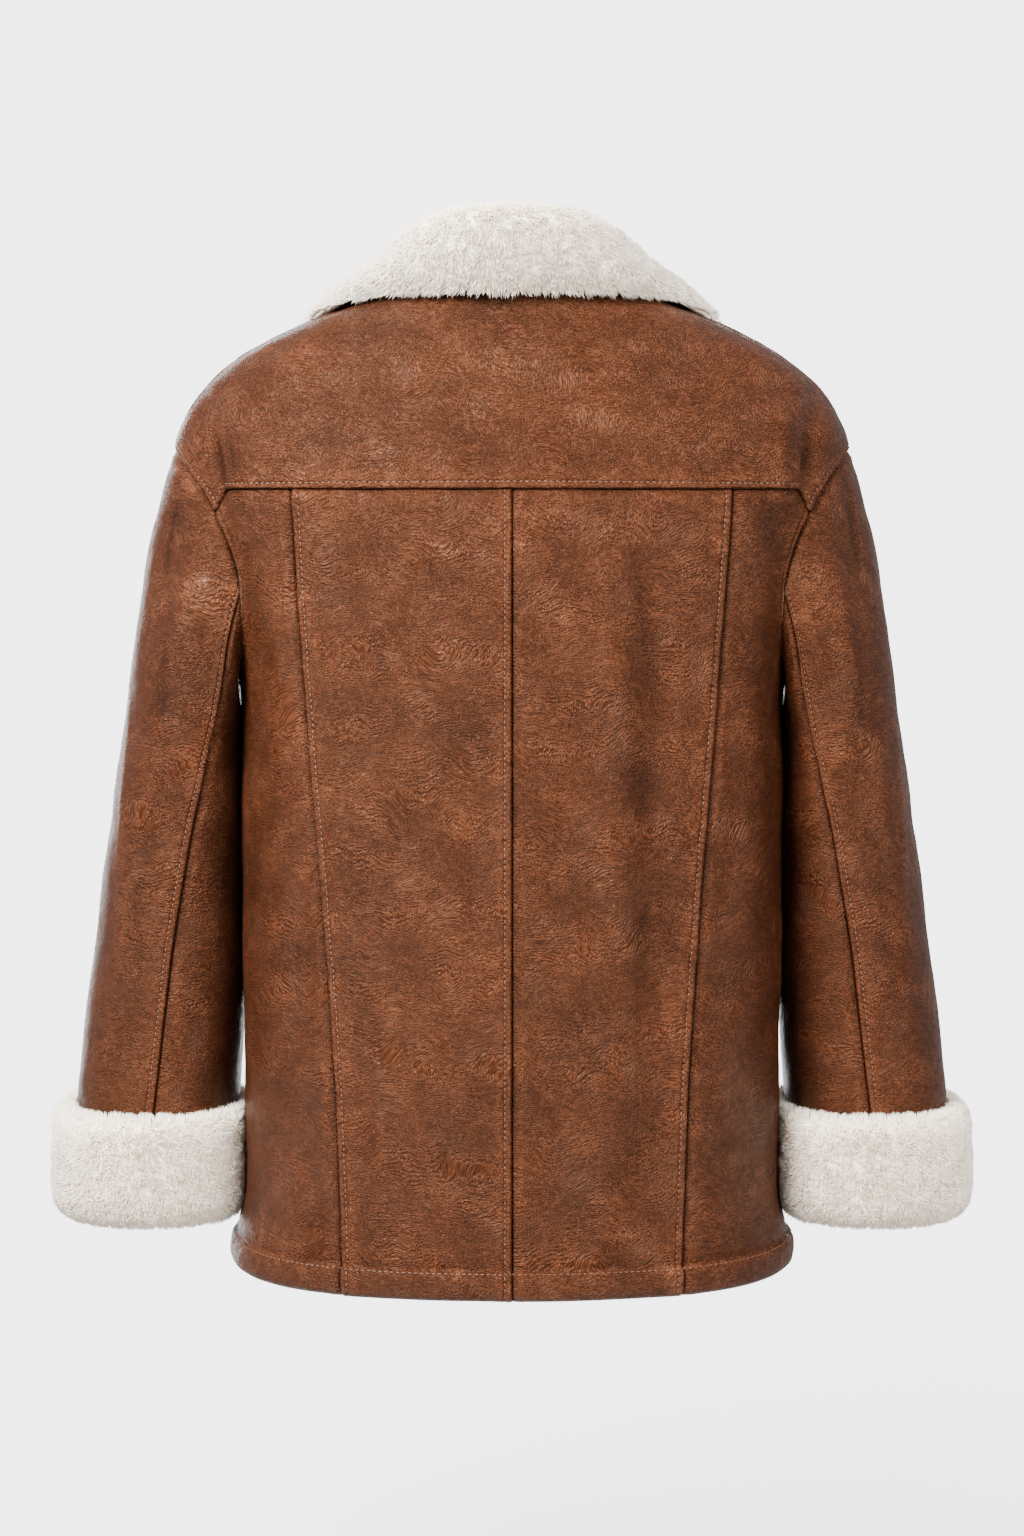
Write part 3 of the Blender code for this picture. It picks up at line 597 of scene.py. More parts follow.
def wallPiece(name, outer, inner, height, flat, materials, turnedUp=0, step=3):
    # A closed wall: the fine outer face, a coarser wool face inside, and the rim between them
    rows, columns = outer.shape[:2]
    keptRows, keptColumns = kept(rows, step), kept(columns, step)
    coarse = inner[np.ix_(keptRows, keptColumns)]
    count = rows * columns
    index = np.arange(count).reshape(rows, columns)
    within = count + np.arange(coarse.shape[0] * coarse.shape[1]).reshape(coarse.shape[:2])
    quads = quadsOf(*corners(index))
    a, b, c, d = corners(within)
    back = quadsOf(a, d, c, b)
    backRows = np.repeat(keptRows[:-1], len(keptColumns) - 1)
    rim = []
    for line, inside, stops in (
        (index[0], within[0], keptColumns),
        (index[-1, ::-1], within[-1, ::-1], columns - 1 - keptColumns[::-1]),
        (index[::-1, 0], within[::-1, 0], rows - 1 - keptRows[::-1]),
        (index[:, -1], within[:, -1], keptRows),
    ):
        for k, (low, high) in enumerate(zip(stops[:-1], stops[1:])):
            rim.append([inside[k], inside[k + 1], *line[low : high + 1][::-1]])
    row, column = rows // 2, columns // 2
    middle = outer[row, column]
    across, up = outer[row, column + 1] - middle, outer[row + 1, column] - middle
    outward = np.cross(across, up) @ (middle - inner[row, column]) > 0
    faces = quads.tolist() + back.tolist() + [[int(i) for i in loop] for loop in rim]
    if not outward:
        faces = [loop[::-1] for loop in faces]
    slots = [0] * len(quads) + [0 if row < turnedUp else 1 for row in backRows] + [0] * len(rim)
    points = np.concatenate([outer.reshape(-1, 3), coarse.reshape(-1, 3)])
    piece = newMesh(name, points, faces, materials, slots)
    # the relief height, which the hide's material turns into painted shade in grooves and creases
    addNumbers(piece, "crest", np.concatenate([height.ravel(), np.zeros(coarse.shape[0] * coarse.shape[1])]))
    flatInside = flat[np.ix_(keptRows, keptColumns)]
    addFlatMap(piece, np.concatenate([flat.reshape(-1, 2), flatInside.reshape(-1, 2)]))
    return piece


def areaOf(points):  # of a grid, in square metres
    a, b, c, d = corners(points)
    halves = [np.linalg.norm(np.cross(*sides), axis=-1) for sides in ((b - a, c - a), (c - a, d - a))]
    return float((halves[0] + halves[1]).sum() / 2) * mm * mm


def ridesAs(piece, slot, *nodes):
    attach(piece, "root")
    if nodes:
        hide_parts(*nodes)


# Materials

def linear(code):
    parts = [int(code[i : i + 2], 16) / 255 for i in (1, 3, 5)]
    return (*[p / 12.92 if p <= 0.04045 else ((p + 0.055) / 1.055) ** 2.4 for p in parts], 1)


def setInputs(tree, node, settings=None, links=None):
    for name, value in (settings or {}).items():
        node.inputs[name].default_value = value
    for name, source in (links or {}).items():
        tree.links.new(source, node.inputs[name])


def addNode(tree, kind, settings=None, links=None, **fields):
    node = tree.nodes.new(kind)
    for name, value in fields.items():
        setattr(node, name, value)
    setInputs(tree, node, settings, links)
    return node


def newMaterial(name):
    material = bpy.data.materials.new(name)
    material.use_nodes = True
    tree = material.node_tree
    here = addNode(tree, "ShaderNodeTexCoord").outputs["Object"]
    return material, tree, tree.nodes["Principled BSDF"], here


def perMetre(size):  # a pattern scale from the size of its features in millimetres
    return 1 / (size * mm)


def grey(value):
    return (value, value, value, 1)


def ramp(tree, source, *stops):
    node = addNode(tree, "ShaderNodeValToRGB", links={"Fac": source})
    band = node.color_ramp
    while len(band.elements) > 1:
        band.elements.remove(band.elements[0])
    band.elements[0].position, band.elements[0].color = stops[0][0], stops[0][1]
    for place, colour in stops[1:]:
        band.elements.new(place).color = colour
    return node.outputs["Color"]


def noise(tree, at, size, detail=2.0, roughness=0.5, distortion=0.0, output="Fac"):
    settings = {"Scale": perMetre(size), "Detail": detail, "Roughness": roughness, "Distortion": distortion}
    return addNode(tree, "ShaderNodeTexNoise", settings, {"Vector": at}).outputs[output]


def stretched(tree, at, scale):
    return addNode(tree, "ShaderNodeMapping", {"Scale": scale}, {"Vector": at}).outputs[0]


def scaled(tree, value, start, end, low=0.0, high=1.0, curve="LINEAR"):
    settings = {"From Min": start, "From Max": end, "To Min": low, "To Max": high}
    node = addNode(tree, "ShaderNodeMapRange", settings, {"Value": value}, interpolation_type=curve)
    return node.outputs[0]


def worked(tree, operation, *terms, kind="ShaderNodeMath"):  # a term is a constant or another node's output
    constants = {i: term for i, term in enumerate(terms) if isinstance(term, (float, tuple))}
    links = {i: term for i, term in enumerate(terms) if i not in constants}
    return addNode(tree, kind, constants, links, operation=operation)


def blended(tree, one, other, factor=1.0, mode="MULTIPLY"):
    fields = {"data_type": "RGBA", "blend_type": mode}
    return addNode(tree, "ShaderNodeMix", {"Factor": factor}, {6: one, 7: other}, **fields).outputs[2]


def bumped(tree, height, strength, distance, before=None):  # distance in millimetres
    links = {"Height": height} if before is None else {"Height": height, "Normal": before}
    settings = {"Strength": strength, "Distance": distance * mm}
    return addNode(tree, "ShaderNodeBump", settings, links).outputs[0]


leather = {
    "deep": "#230e06",
    "base": "#301407",
    "light": "#3a1b0e",
    "vein": "#5a3420",
    "gloss": "#ffd4b4",
    "pore": 1.1,  # this and the rest are in mm
    "pebble": 1.9,
    "ripple": 2.1,
    "wrinkle": 6.5,
    "mottle": 8.0,
    "patch": 30.0,
    "flow": 48.0,
    "drift": 48.0,
    "cloud": 70.0,
}
wavePeriod = 0.314  # of the wave texture at scale 1, in metres


# Aniline-dyed sheepskin, leather side out: a deep orange brown that clouds a little, with painted shade in
# the creases and seam grooves, and tan where the grain's tops have rubbed, with a waxy gloss that the
# pebbled, wrinkled grain breaks up
def leatherMaterial():
    material, tree, shader, here = newMaterial("aniline_sheepskin")
    flow = noise(tree, here, leather["flow"], 1.0, output="Color")
    vector = "ShaderNodeVectorMath"
    shift = worked(tree, "SUBTRACT", flow, (0.5, 0.5, 0.5), kind=vector).outputs[0]
    pushed = worked(tree, "MULTIPLY", shift, (leather["drift"] * mm,) * 3, kind=vector).outputs[0]
    bent = worked(tree, "ADD", here, pushed, kind=vector).outputs[0]
    # Wrinkles run mostly across the body, so their pattern is squeezed upwards
    wrinkles = noise(tree, stretched(tree, bent, (0.6, 0.6, 1.7)), leather["wrinkle"], 2.5, distortion=0.9)
    level = worked(tree, "ABSOLUTE", worked(tree, "SUBTRACT", wrinkles, 0.5).outputs[0]).outputs[0]
    ridges = scaled(tree, level, 0.0, 0.09, 0.8, 0.0, "SMOOTHSTEP")
    # Between them the grain ripples across the folds, in lines that wander, fade and return
    fine = wavePeriod * perMetre(leather["ripple"])
    waves = addNode(
        tree, "ShaderNodeTexWave", {"Scale": fine, "Distortion": 8.0, "Detail": 3.0, "Detail Scale": 0.4},
        {"Vector": bent}, bands_direction="Z",
    ).outputs["Fac"]
    patch = scaled(tree, noise(tree, here, leather["patch"]), 0.3, 0.62, 0.35, 0.85)
    ripples = worked(tree, "MULTIPLY", scaled(tree, waves, 0.45, 1.0, curve="SMOOTHSTEP"), patch).outputs[0]
    ridges = worked(tree, "MAXIMUM", ridges, ripples).outputs[0]
    cells = addNode(
        tree, "ShaderNodeTexVoronoi", {"Scale": perMetre(leather["pebble"]), "Randomness": 1.0},
        {"Vector": stretched(tree, bent, (0.8, 0.8, 1.25))}, feature="DISTANCE_TO_EDGE",
    ).outputs["Distance"]
    tops = scaled(tree, cells, 0.0, 0.32, curve="SMOOTHSTEP")
    pores = noise(tree, here, leather["pore"])
    clouds = noise(tree, here, leather["cloud"], 3.0, 0.55)
    mottle = noise(tree, bent, leather["mottle"], 3.0, 0.65)
    dark, middle, pale = (linear(leather[name]) for name in ("deep", "base", "light"))
    tone = ramp(tree, clouds, (0.2, dark), (0.5, middle), (0.8, pale))
    spotted = ramp(tree, mottle, (0.25, dark), (0.5, middle), (0.75, pale))
    dyed = blended(tree, tone, spotted, 0.5, "MIX")
    # The dye is thin on the tops and deep between them
    cracks = ramp(tree, tops, (0.0, (0.42, 0.38, 0.34, 1)), (0.5, grey(0.98)), (1.0, grey(1.2)))
    grained = blended(tree, dyed, cracks, 0.8)
    rubbed = worked(tree, "MULTIPLY", worked(tree, "MULTIPLY", ridges, mottle).outputs[0], 0.55).outputs[0]
    veined = addNode(
        tree, "ShaderNodeMix", {7: linear(leather["vein"])}, {"Factor": rubbed, 6: grained}, data_type="RGBA"
    ).outputs[2]
    crest = addNode(tree, "ShaderNodeAttribute", attribute_name="crest").outputs["Fac"]
    # painted shade: the hide darkens by its relief height in seam grooves, along the hem's stitch line and
    # in creases; raised welts and crests are lightened as rubbed wear
    creaseShadeAndWear = ramp(
        tree, scaled(tree, crest, -2.4, 1.9),
        (0.0, (0.3, 0.27, 0.25, 1)), (0.4, (0.82, 0.8, 0.78, 1)),
        (0.58, grey(1)), (0.9, (1.38, 1.42, 1.45, 1)),
    )
    gloss = ramp(tree, mottle, (0.3, grey(0.52)), (0.7, grey(0.4)))
    grain = bumped(tree, tops, 0.9, 0.6, bumped(tree, pores, 0.3, 0.3))
    setInputs(
        tree, shader,
        {"Specular IOR Level": 0.16, "Specular Tint": linear(leather["gloss"])},
        {
            "Base Color": blended(tree, veined, creaseShadeAndWear),
            "Roughness": gloss,
            "Normal": bumped(tree, ridges, 0.8, 0.8, grain),
        },
    )
    return material


wool = {
    # root is painted shade, deep among the fibres
    "root": "#c9b49c",
    "middle": "#ebdcc9",
    "tip": "#f8eddf",
    "bloom": "#fff6ea",
    "clump": 11.0,  # mm
    "fleck": 2.2,
}


# Sheared cream wool: dense fine crimped fibres, matt, with a soft bloom where the tips catch the light
def woolMaterial(name, reads):
    material, tree, shader, here = newMaterial(name)
    clump = noise(tree, here, wool["clump"], 4.0, distortion=0.8)
    fleck = noise(tree, here, wool["fleck"], 3.0)
    root, middle, tip = (linear(wool[part]) for part in ("root", "middle", "tip"))
    if reads == "pile":
        depth = addNode(tree, "ShaderNodeAttribute", attribute_name="pile").outputs["Fac"]
        # painted shade: the pile's tone darkens from the tips down to the roots
        tone = ramp(tree, depth, (0.0, root), (0.45, middle), (1.0, tip))
    else:
        tone = ramp(tree, clump, (0.3, middle), (0.65, tip))
    shade = ramp(tree, fleck, (0.25, (0.86, 0.85, 0.83, 1)), (0.7, grey(1)))
    soft = bumped(tree, clump, 0.5, 2.5)
    setInputs(
        tree, shader,
        {
            "Roughness": 0.95,
            "Specular IOR Level": 0.2,
            "Sheen Weight": 0.35,
            "Sheen Roughness": 0.5,
            "Sheen Tint": linear(wool["bloom"]),
        },
        {"Base Color": blended(tree, tone, shade), "Normal": bumped(tree, fleck, 0.6, 1.2, soft)},
    )
    return material


thread = {"colour": "#351a0d", "light": "#553119", "twist": 0.7}


# Bonded polyester thread, a shade off the hide, twisted and slightly waxed
def threadMaterial():
    material, tree, shader, here = newMaterial("waxed_thread")
    twist = noise(tree, here, thread["twist"])
    tone = ramp(tree, twist, (0.35, linear(thread["colour"])), (0.65, linear(thread["light"])))
    setInputs(tree, shader, {"Roughness": 0.55}, {"Base Color": tone})
    return material


horn = {"dark": "#080403", "brown": "#24120a", "streak": 5.0}


# Polished buffalo horn: nearly black, with brown streaks under a clear gloss
def hornMaterial():
    material, tree, shader, here = newMaterial("polished_horn")
    streak = noise(tree, stretched(tree, here, (1, 1, 0.25)), horn["streak"], 4.0, distortion=1.2)
    tone = ramp(tree, streak, (0.4, linear(horn["dark"])), (0.75, linear(horn["brown"])))
    setInputs(tree, shader, {"Roughness": 0.33, "Specular IOR Level": 0.3}, {"Base Color": tone})
    return material


hideFinish = leatherMaterial()
linedFinish = woolMaterial("sheared_wool_inside", "clump")
pileFinish = woolMaterial("sheared_wool_pile", "pile")
threadFinish = threadMaterial()
hornFinish = hornMaterial()
print("materials made")


# Leather panels on the body

panelCell = {"back": 3.4, "front": 4.6, "sleeve": 3.6}
stitchLines = {}


# Where sewn panels meet, each edge is drawn out over its neighbour's, so that nothing shows between them
def sewnEdges(points, tuck=0.0):
    moved = points.copy()
    for nearer, other in ((np.s_[:, 0], np.s_[:, 2]), (np.s_[:, -1], np.s_[:, -3]), (np.s_[-1], np.s_[-3])):
        moved[nearer] -= unit(points[other] - points[nearer]) * body["seamLap"]
    if tuck:  # how far the first row reaches beneath the neighbour
        moved[0] -= unit(points[2] - points[0]) * tuck
    return moved


# The hem's stitch line presses its roll down, and its thread puckers it
hemLine = {"width": 1.3, "depth": 0.5, "pucker": 0.3, "puckerLength": 9, "puckerAt": 14, "puckerReach": 9}


def pressedHem(relief, points, height):
    line = np.exp(-(((height - sewing["hemRows"][sewing["hemStitchAt"]]) / hemLine["width"]) ** 2))
    near = np.exp(-(((height - hemLine["puckerAt"]) / hemLine["puckerReach"]) ** 2))
    puckered = hemLine["pucker"] * unevenness(points, hemLine["puckerLength"], 8) * near
    return relief - hemLine["depth"] * line + puckered


def bodyPanel(name, tables, sign, cell, kinds, change, lines, hem, flat, lap=""):
    angles, heights = tables

    def place(u, v):
        return torso(sign * between(angles, u, v), between(heights, u, v))

    sewn = sewing["beside"]
    spots = layOut(place, *angles.shape, cell, sewn, sewn, sewing["hemRows"] if hem else sewn, sewn)
    angle, z = sign * between(angles, spots["u"], spots["v"]), between(heights, spots["u"], spots["v"])
    base, normal = torso(angle, z), normalOf(torso, angle, z)
    out, inside = hemOffsets(z)
    if not hem:
        out, inside = 0 * out, 0 * inside + body["hide"]
    side = np.where(np.cos(angle) >= 0, 1.0, -1.0)
    relief = leatherRelief(base, spots, kinds, change) + swell(base[..., 0], z, side, creases)
    if hem:
        relief = pressedHem(relief, base, spots["bottom"])
    doubled = overlapShare(base[..., 0] * sign) * (side < 0)
    raised = (inside + body["overlapGap"]) * doubled * (lap == "over")
    out = out * (1 - doubled * (lap == "under"))
    outer = sewnEdges(base + normal * (out + relief + raised)[..., None])
    inner = sewnEdges(base - normal * (inside - raised)[..., None])
    cut = np.stack([spots["start"], spots["bottom"]], -1)
    turnedUp = sewing["turnedUp"] if hem else 0
    piece = wallPiece(name, outer, inner, relief, cut, [hideFinish, linedFinish], turnedUp)
    at = sewing["stitchAt"]
    followed = {
        "start": np.s_[:, at],
        "end": np.s_[:, -1 - at],
        "top": np.s_[-1 - at],
        "bottom": np.s_[at],
        "hem": np.s_[sewing["hemStitchAt"]],
    }
    for edge in lines:
        stitchLines[f"{name}_{edge}"] = (outer[followed[edge]], normal[followed[edge]])
    ridesAs(piece, "brown_leather", name)
    min(areaOf(outer), flat[0] * flat[1])


def armholeAbove(z):  # 0 where the side seam is plain, and 1 where a sleeve is sewn on
    return fade(z, body["armpitZ"] - 8, body["armpitZ"] + 12)


for hand, sign in (("left", 1), ("right", -1)):
    bodyPanel(
        f"back_centre_{hand}", backTable("centre"), sign, panelCell["back"],
        {"start": "over" if hand == "left" else "under", "end": "over", "top": "under"},
        None, ["end", "hem"] + (["start"] if hand == "left" else []), True, (0.175, 0.66),
    )
    bodyPanel(
        f"back_side_{hand}", backTable("side"), sign, panelCell["back"],
        {"start": "under", "end": ("plain", "over"), "top": "under"},
        armholeAbove, ["hem"], True, (0.20, 0.66),
    )
print("back panels made")

bodyPanel(
    "back_yoke", yokeTable(), 1, panelCell["back"],
    {"start": "over", "end": "over", "bottom": "over", "top": "plain"},
    None, ["bottom", "start", "end"], False, (0.60, 0.24),
)
print("yoke made")

bodyPanel(
    "front_left", frontTable(), 1, panelCell["front"],
    {"start": ("plain", "over"), "end": "free", "top": "none"},
    armholeAbove, ["end", "hem"], True, (0.38, 0.80),
    lap="over",
)
bodyPanel(
    "front_right", frontTable(), -1, panelCell["front"],
    {"start": ("plain", "over"), "end": "none", "top": "none"},
    armholeAbove, ["hem"], True, (0.38, 0.80),
    lap="under",
)
print("fronts made")

# Sleeves

sleeveRings = readTable(
    "outerX outerZ innerX innerZ halfDepth middleY seam",
    (256, -137, 208, -311, 79, 4, 108),
    (264.5, -163, 208, -320, 81, 3, 112),
    (273.5, -198, 207, -330, 82, 2, 117),
    (280, -231, 206, -343, 82, 0, 121),
    (286, -268, 206, -362, 81.5, -2, 122),
    (291.5, -306, 206, -386, 80.5, -4, 118),
    (297.5, -345, 206, -412, 79.5, -6, 113),
    (306, -397, 206, -450, 78, -9, 106),
    (314, -448, 206, -490, 76, -12, 101),
    (321.5, -500, 207, -533, 74, -15, 97),
    (329, -555, 209, -578, 72, -18, 95),
    (336.5, -608, 212, -622, 70.5, -20, 94),
    (340, -646, 214.5, -652, 70, -21, 93),
    (342, -686, 216, -690, 70, -22, 93),
    (343, -724, 217, -724, 70, -22, 93),
)
sleeveFolds = readTable(
    "ringUp ringLow angleUp angleLow halfAngle height",
    (0.3, 6.0, 78, 84, 13, 4.5),
    (1.0, 5.5, 46, 58, 12, -3.0),
    (4.5, 11.0, 70, 60, 14, 2.5),
    (3.0, 9.0, -75, -80, 15, 3.0),
)
# Finer creases of the hide, as ring numbers and angles
sleeveCreases = readTable(
    "ringUp ringLow angleUp angleLow halfAngle height",
    (0.2, 3.2, 30, 52, 4, -1.2),
    (0.4, 4.5, 96, 104, 4, 1.0),
    (2.0, 7.0, 58, 88, 5, -0.9),
    (5.0, 9.5, 30, 62, 6, 0.9),
    (6.0, 11.0, 76, 70, 5, -0.8),
    (2.5, 8.0, -40, -66, 6, -0.9),
    (5.0, 11.0, -90, -70, 7, 0.9),
)
sleeve = {
    "squareness": 0.10,
    "frontSeamAngle": -128.0,
    "clearance": -1.2,  # below the armpit, where the sleeve presses into the jacket's side
    "headClearance": 0.6,
    "tuck": 1.3,
    "backStep": 8,
    "frontStep": 10,
}


def skinTree():  # the torso's surface, for keeping other pieces off it
    degrees, heights = np.arange(-180, 180, 3.0), np.arange(body["hemZ"], body["neckSideZ"], 5.0)
    angle, z = np.meshgrid(np.radians(degrees), heights)
    normal = normalOf(torso, angle, z)
    lift = frontLift(angle, z) + np.interp(z - body["hemZ"], hemRoll["height"], hemRoll["out"])
    points = (torso(angle, z) + normal * lift[..., None]).reshape(-1, 3)
    return treeOf(points), points, normal.reshape(-1, 3)


skin = skinTree()


def keepOff(points, clear):
    tree, places, normals = skin
    flat = points.reshape(-1, 3).copy()
    wanted = np.broadcast_to(clear, points.shape[:-1]).reshape(-1)
    for i, point in enumerate(flat):
        nearest = tree.find(point)[1]
        lack = wanted[i] - (point - places[nearest]) @ normals[nearest]
        if lack > 0:
            flat[i] = point + normals[nearest] * lack
    return flat.reshape(points.shape)


def armholeLoop():
    down = armholeLevels()[::-1]
    up = armholeLevels()[1:-1]
    return np.concatenate([backLimit(down), frontLimit(up)]), np.concatenate([down, up])


def sleeveRow(ring, name):
    return np.interp(ring, np.arange(len(sleeveRings["seam"])), sleeveRings[name])


def sleeveRing(ring, angle):
    q = sleeve["squareness"]
    s, c = np.sin(angle), np.cos(angle)
    across = c * (1 + q * s * s)
    outerEnd = np.stack([sleeveRow(ring, "outerX"), sleeveRow(ring, "outerZ")], -1)
    innerEnd = np.stack([sleeveRow(ring, "innerX"), sleeveRow(ring, "innerZ")], -1)
    place = (outerEnd + innerEnd) / 2 + (outerEnd - innerEnd) / 2 * across[..., None]
    y = sleeveRow(ring, "middleY") + sleeveRow(ring, "halfDepth") * s * (1 + q * c * c)
    return np.stack([place[..., 0], y, place[..., 1]], -1)


def sleeveAngles():
    loopAngle, loopZ = armholeLoop()
    points = torso(loopAngle, loopZ)
    outerEnd = np.array([sleeveRings["outerX"][0], sleeveRings["outerZ"][0]])
    innerEnd = np.array([sleeveRings["innerX"][0], sleeveRings["innerZ"][0]])
    axis = outerEnd - innerEnd
    across = ((points[:, [0, 2]] - (outerEnd + innerEnd) / 2) @ axis) / (axis @ axis / 2)
    deep = (points[:, 1] - sleeveRings["middleY"][0]) / sleeveRings["halfDepth"][0]
    first = np.unwrap(np.arctan2(deep, across))
    first -= first[0]
    count = len(loopZ)
    rings = np.arange(len(sleeveRings["seam"]))
    knots = [0, sleeve["backStep"], count - sleeve["frontStep"], count]
    angles = []
    for ring in rings:
        stops = [0, sleeveRings["seam"][ring], 360 + sleeve["frontSeamAngle"], 360]
        even = np.radians(np.interp(np.arange(count), knots, stops))
        angles.append(first + (even - first) * float(fade(ring, 0, 4)))
    return rings, np.array(angles)


def sleeveSwell(ring, angle, lines):
    degrees = np.degrees(np.mod(angle + math.pi, 2 * math.pi) - math.pi)
    total = np.zeros_like(degrees)
    for i in range(len(lines["ringUp"])):
        fold = {name: values[i] for name, values in lines.items()}
        down = np.clip((ring - fold["ringUp"]) / (fold["ringLow"] - fold["ringUp"]), 0, 1)
        line = fold["angleUp"] + (fold["angleLow"] - fold["angleUp"]) * down
        shape = np.exp(-(((degrees - line) / fold["halfAngle"]) ** 2))
        total += fold["height"] * shape * np.sin(math.pi * down) ** 0.8
    return total


def tubeNormal(points):
    roundIt = np.roll(points, -1, axis=1) - np.roll(points, 1, axis=1)
    return unit(np.cross(np.gradient(points, axis=0), roundIt))


def sleeveSurface():
    rings, angles = sleeveAngles()
    ring = np.broadcast_to(rings[:, None], angles.shape)
    points = sleeveRing(ring, angles)
    loopAngle, loopZ = armholeLoop()
    armhole = torso(loopAngle, loopZ)
    points = points + (armhole - points[0])[None] * (1 - fade(ring, 0, 5)[..., None])
    fold = sleeveSwell(ring, angles, sleeveFolds) * fade(ring, 0, 1.5)
    points = points + tubeNormal(points) * fold[..., None]
    head = sleeve["headClearance"]
    clear = head + (sleeve["clearance"] - head) * fade(rings[1:], 1, 3)[:, None]
    points[1:] = keepOff(points[1:], clear)
    normal = tubeNormal(points)
    torsoNormal = normalOf(torso, loopAngle, loopZ)
    tangent = unit(np.roll(armhole, -1, axis=0) - np.roll(armhole, 1, axis=0))
    opening = unit(np.cross(torsoNormal, tangent))
    opening *= np.sign(dot(opening, armhole.mean(0) - armhole))
    foldedBack = fade(-dot(unit(points[1] - points[0]), opening), -0.3, 0.3)
    points[0] = armhole + (opening + torsoNormal * foldedBack) * 2 * body["seamGap"]
    normal[0] = unit(normal[0] - np.maximum(dot(normal[0], opening), 0) * opening)
    return points, normal, angles


sleeveGrid, sleeveNormals, sleeveAround = sleeveSurface()
sleeveCount = sleeveGrid.shape[1]
hands = (("left", lambda points: points), ("right", mirrored))


def sleevePanel(name, columns, turn, kinds, flat):
    wrapped, facing = sleeveGrid[:, columns % sleeveCount], sleeveNormals[:, columns % sleeveCount]
    around = sleeveAround[:, columns % sleeveCount] + 2 * math.pi * (columns // sleeveCount)

    def place(u, v):
        return curved(wrapped, u, v)

    sewn, plain = sewing["beside"], sewing["plainRows"]
    spots = layOut(place, len(wrapped), len(columns), panelCell["sleeve"], sewn, sewn, sewn, plain)
    base = place(spots["u"], spots["v"])
    normal = unit(curved(facing, spots["u"], spots["v"]))
    angle = between(around, spots["u"], spots["v"])
    relief = leatherRelief(base, spots, kinds) + sleeveSwell(spots["u"], angle, sleeveCreases)
    outer = turn(sewnEdges(base + normal * relief[..., None], sleeve["tuck"]))
    inner = turn(sewnEdges(base - normal * body["hide"], sleeve["tuck"]))
    cut = np.stack([spots["start"], spots["bottom"]], -1)
    piece = wallPiece(name, outer, inner, relief, cut, [hideFinish, linedFinish])
    if kinds["end"] == "over":
        line = np.s_[:, -1 - sewing["stitchAt"]]
        stitchLines[f"{name}_end"] = (outer[line], turn(normal)[line])
    ridesAs(piece, "brown_leather", name)
    min(areaOf(outer), flat[0] * flat[1])


frontAt, backAt = sleeveCount - sleeve["frontStep"], sleeve["backStep"]
for hand, turn in hands:
    sleevePanel(
        f"sleeve_upper_{hand}", np.arange(frontAt, sleeveCount + backAt + 1), turn,
        {"start": "plain", "end": "over", "bottom": "under"}, (0.36, 0.66),
    )
    sleevePanel(
        f"sleeve_under_{hand}", np.arange(backAt, frontAt + 1), turn,
        {"start": "under", "end": "plain", "bottom": "under"}, (0.26, 0.58),
    )
print("sleeves made")

# Stitches: one short raised stitch after another along every topstitched edge

stitch = {"pitch": 4.4, "length": 3.3, "radius": 0.42, "sides": 5, "sink": 0.15, "nearby": 1.5}
stitchRings = readTable(
    "along size up",
    (-0.5, 0.25, -0.35),
    (-0.3, 1.0, 0.1),
    (0.3, 1.0, 0.1),
    (0.5, 0.25, -0.35),
)


def pointAt(at, length, path):
    return np.array([np.interp(at, length, path[:, axis]) for axis in range(3)])


def tubeFaces(start, rings, sides):  # between rings of points, and over both ends
    faces = []
    for ring in range(rings - 1):
        for i in range(sides):
            a, b = start + ring * sides + i, start + ring * sides + (i + 1) % sides
            faces.append([a, a + sides, b + sides, b])
    last = start + (rings - 1) * sides
    return faces + [list(range(start, start + sides)), list(range(last + sides - 1, last - 1, -1))]


def stitchPiece(name, panels):
    points, faces = [], []
    turns = np.linspace(0, 2 * math.pi, stitch["sides"], endpoint=False)
    rings = list(zip(stitchRings["along"], stitchRings["size"], stitchRings["up"]))
    for path, facing in [line for edge, line in stitchLines.items() if edge.startswith(panels)]:
        length = walked(path, 0)
        count = int(length[-1] / stitch["pitch"])
        for k in range(count):
            at = (k + 0.5) * length[-1] / count
            ahead = pointAt(min(at + stitch["nearby"], length[-1]), length, path)
            along = unit(ahead - pointAt(max(at - stitch["nearby"], 0), length, path))
            up = unit(pointAt(at, length, facing))
            beside = np.cross(up, along)
            middle = pointAt(at, length, path)
            faces += tubeFaces(len(points), len(rings), stitch["sides"])
            for stop, size, rise in rings:
                centre = middle + along * (stop * stitch["length"]) + up * (rise + stitch["sink"])
                radius = size * stitch["radius"]
                points += [centre + (beside * math.cos(a) + up * math.sin(a)) * radius for a in turns]
    piece = newMesh(name, points, faces, [threadFinish])
    faceOutward(piece)
    ridesAs(piece, "brown_leather")


stitchPiece("stitching_back", "back")
stitchPiece("stitching_front", "front")
stitchPiece("stitching_sleeves", "sleeve")
print("stitches made")

# Wool pile: a soft clumped base, and tapered locks rooted in it

pile = {
    "clumpSize": 13.0,
    "clumpShare": 1.3,
    "gapWidth": 2.2,
    "gapLength": 0.72,  # of a lock's full length, where it stands between two clumps
    "clumpLength": 0.28,  # what is added to that within a clump
    "lengths": (0.85, 1.12),
    "combed": 0.55,
    "gathered": 0.035,
    "stray": 0.16,
    "lockWidth": 1.15,
    "widths": (0.7, 1.3),
    "rooted": 0.6,
    "rootShadeTone": 0.15,
    "tipTone": 0.55,
    "gapShadeDepth": 0.45,
    "rows": 160,
    "columns": 400,
}
woolBase = {
    "collarHeight": 1.1,
    "insideHeight": 0.4,
    "cuffHeight": 1.0,
    "coarse": 0.5,
    "fine": 0.25,
    "crackWidth": 0.22,
    "crack": 0.9,
}
# painted shade: crack sets how far the wool's tone darkens along the cracks between clumps
baseToneAndCrackShade = {"level": 0.62, "crack": 0.35, "fine": 0.12}


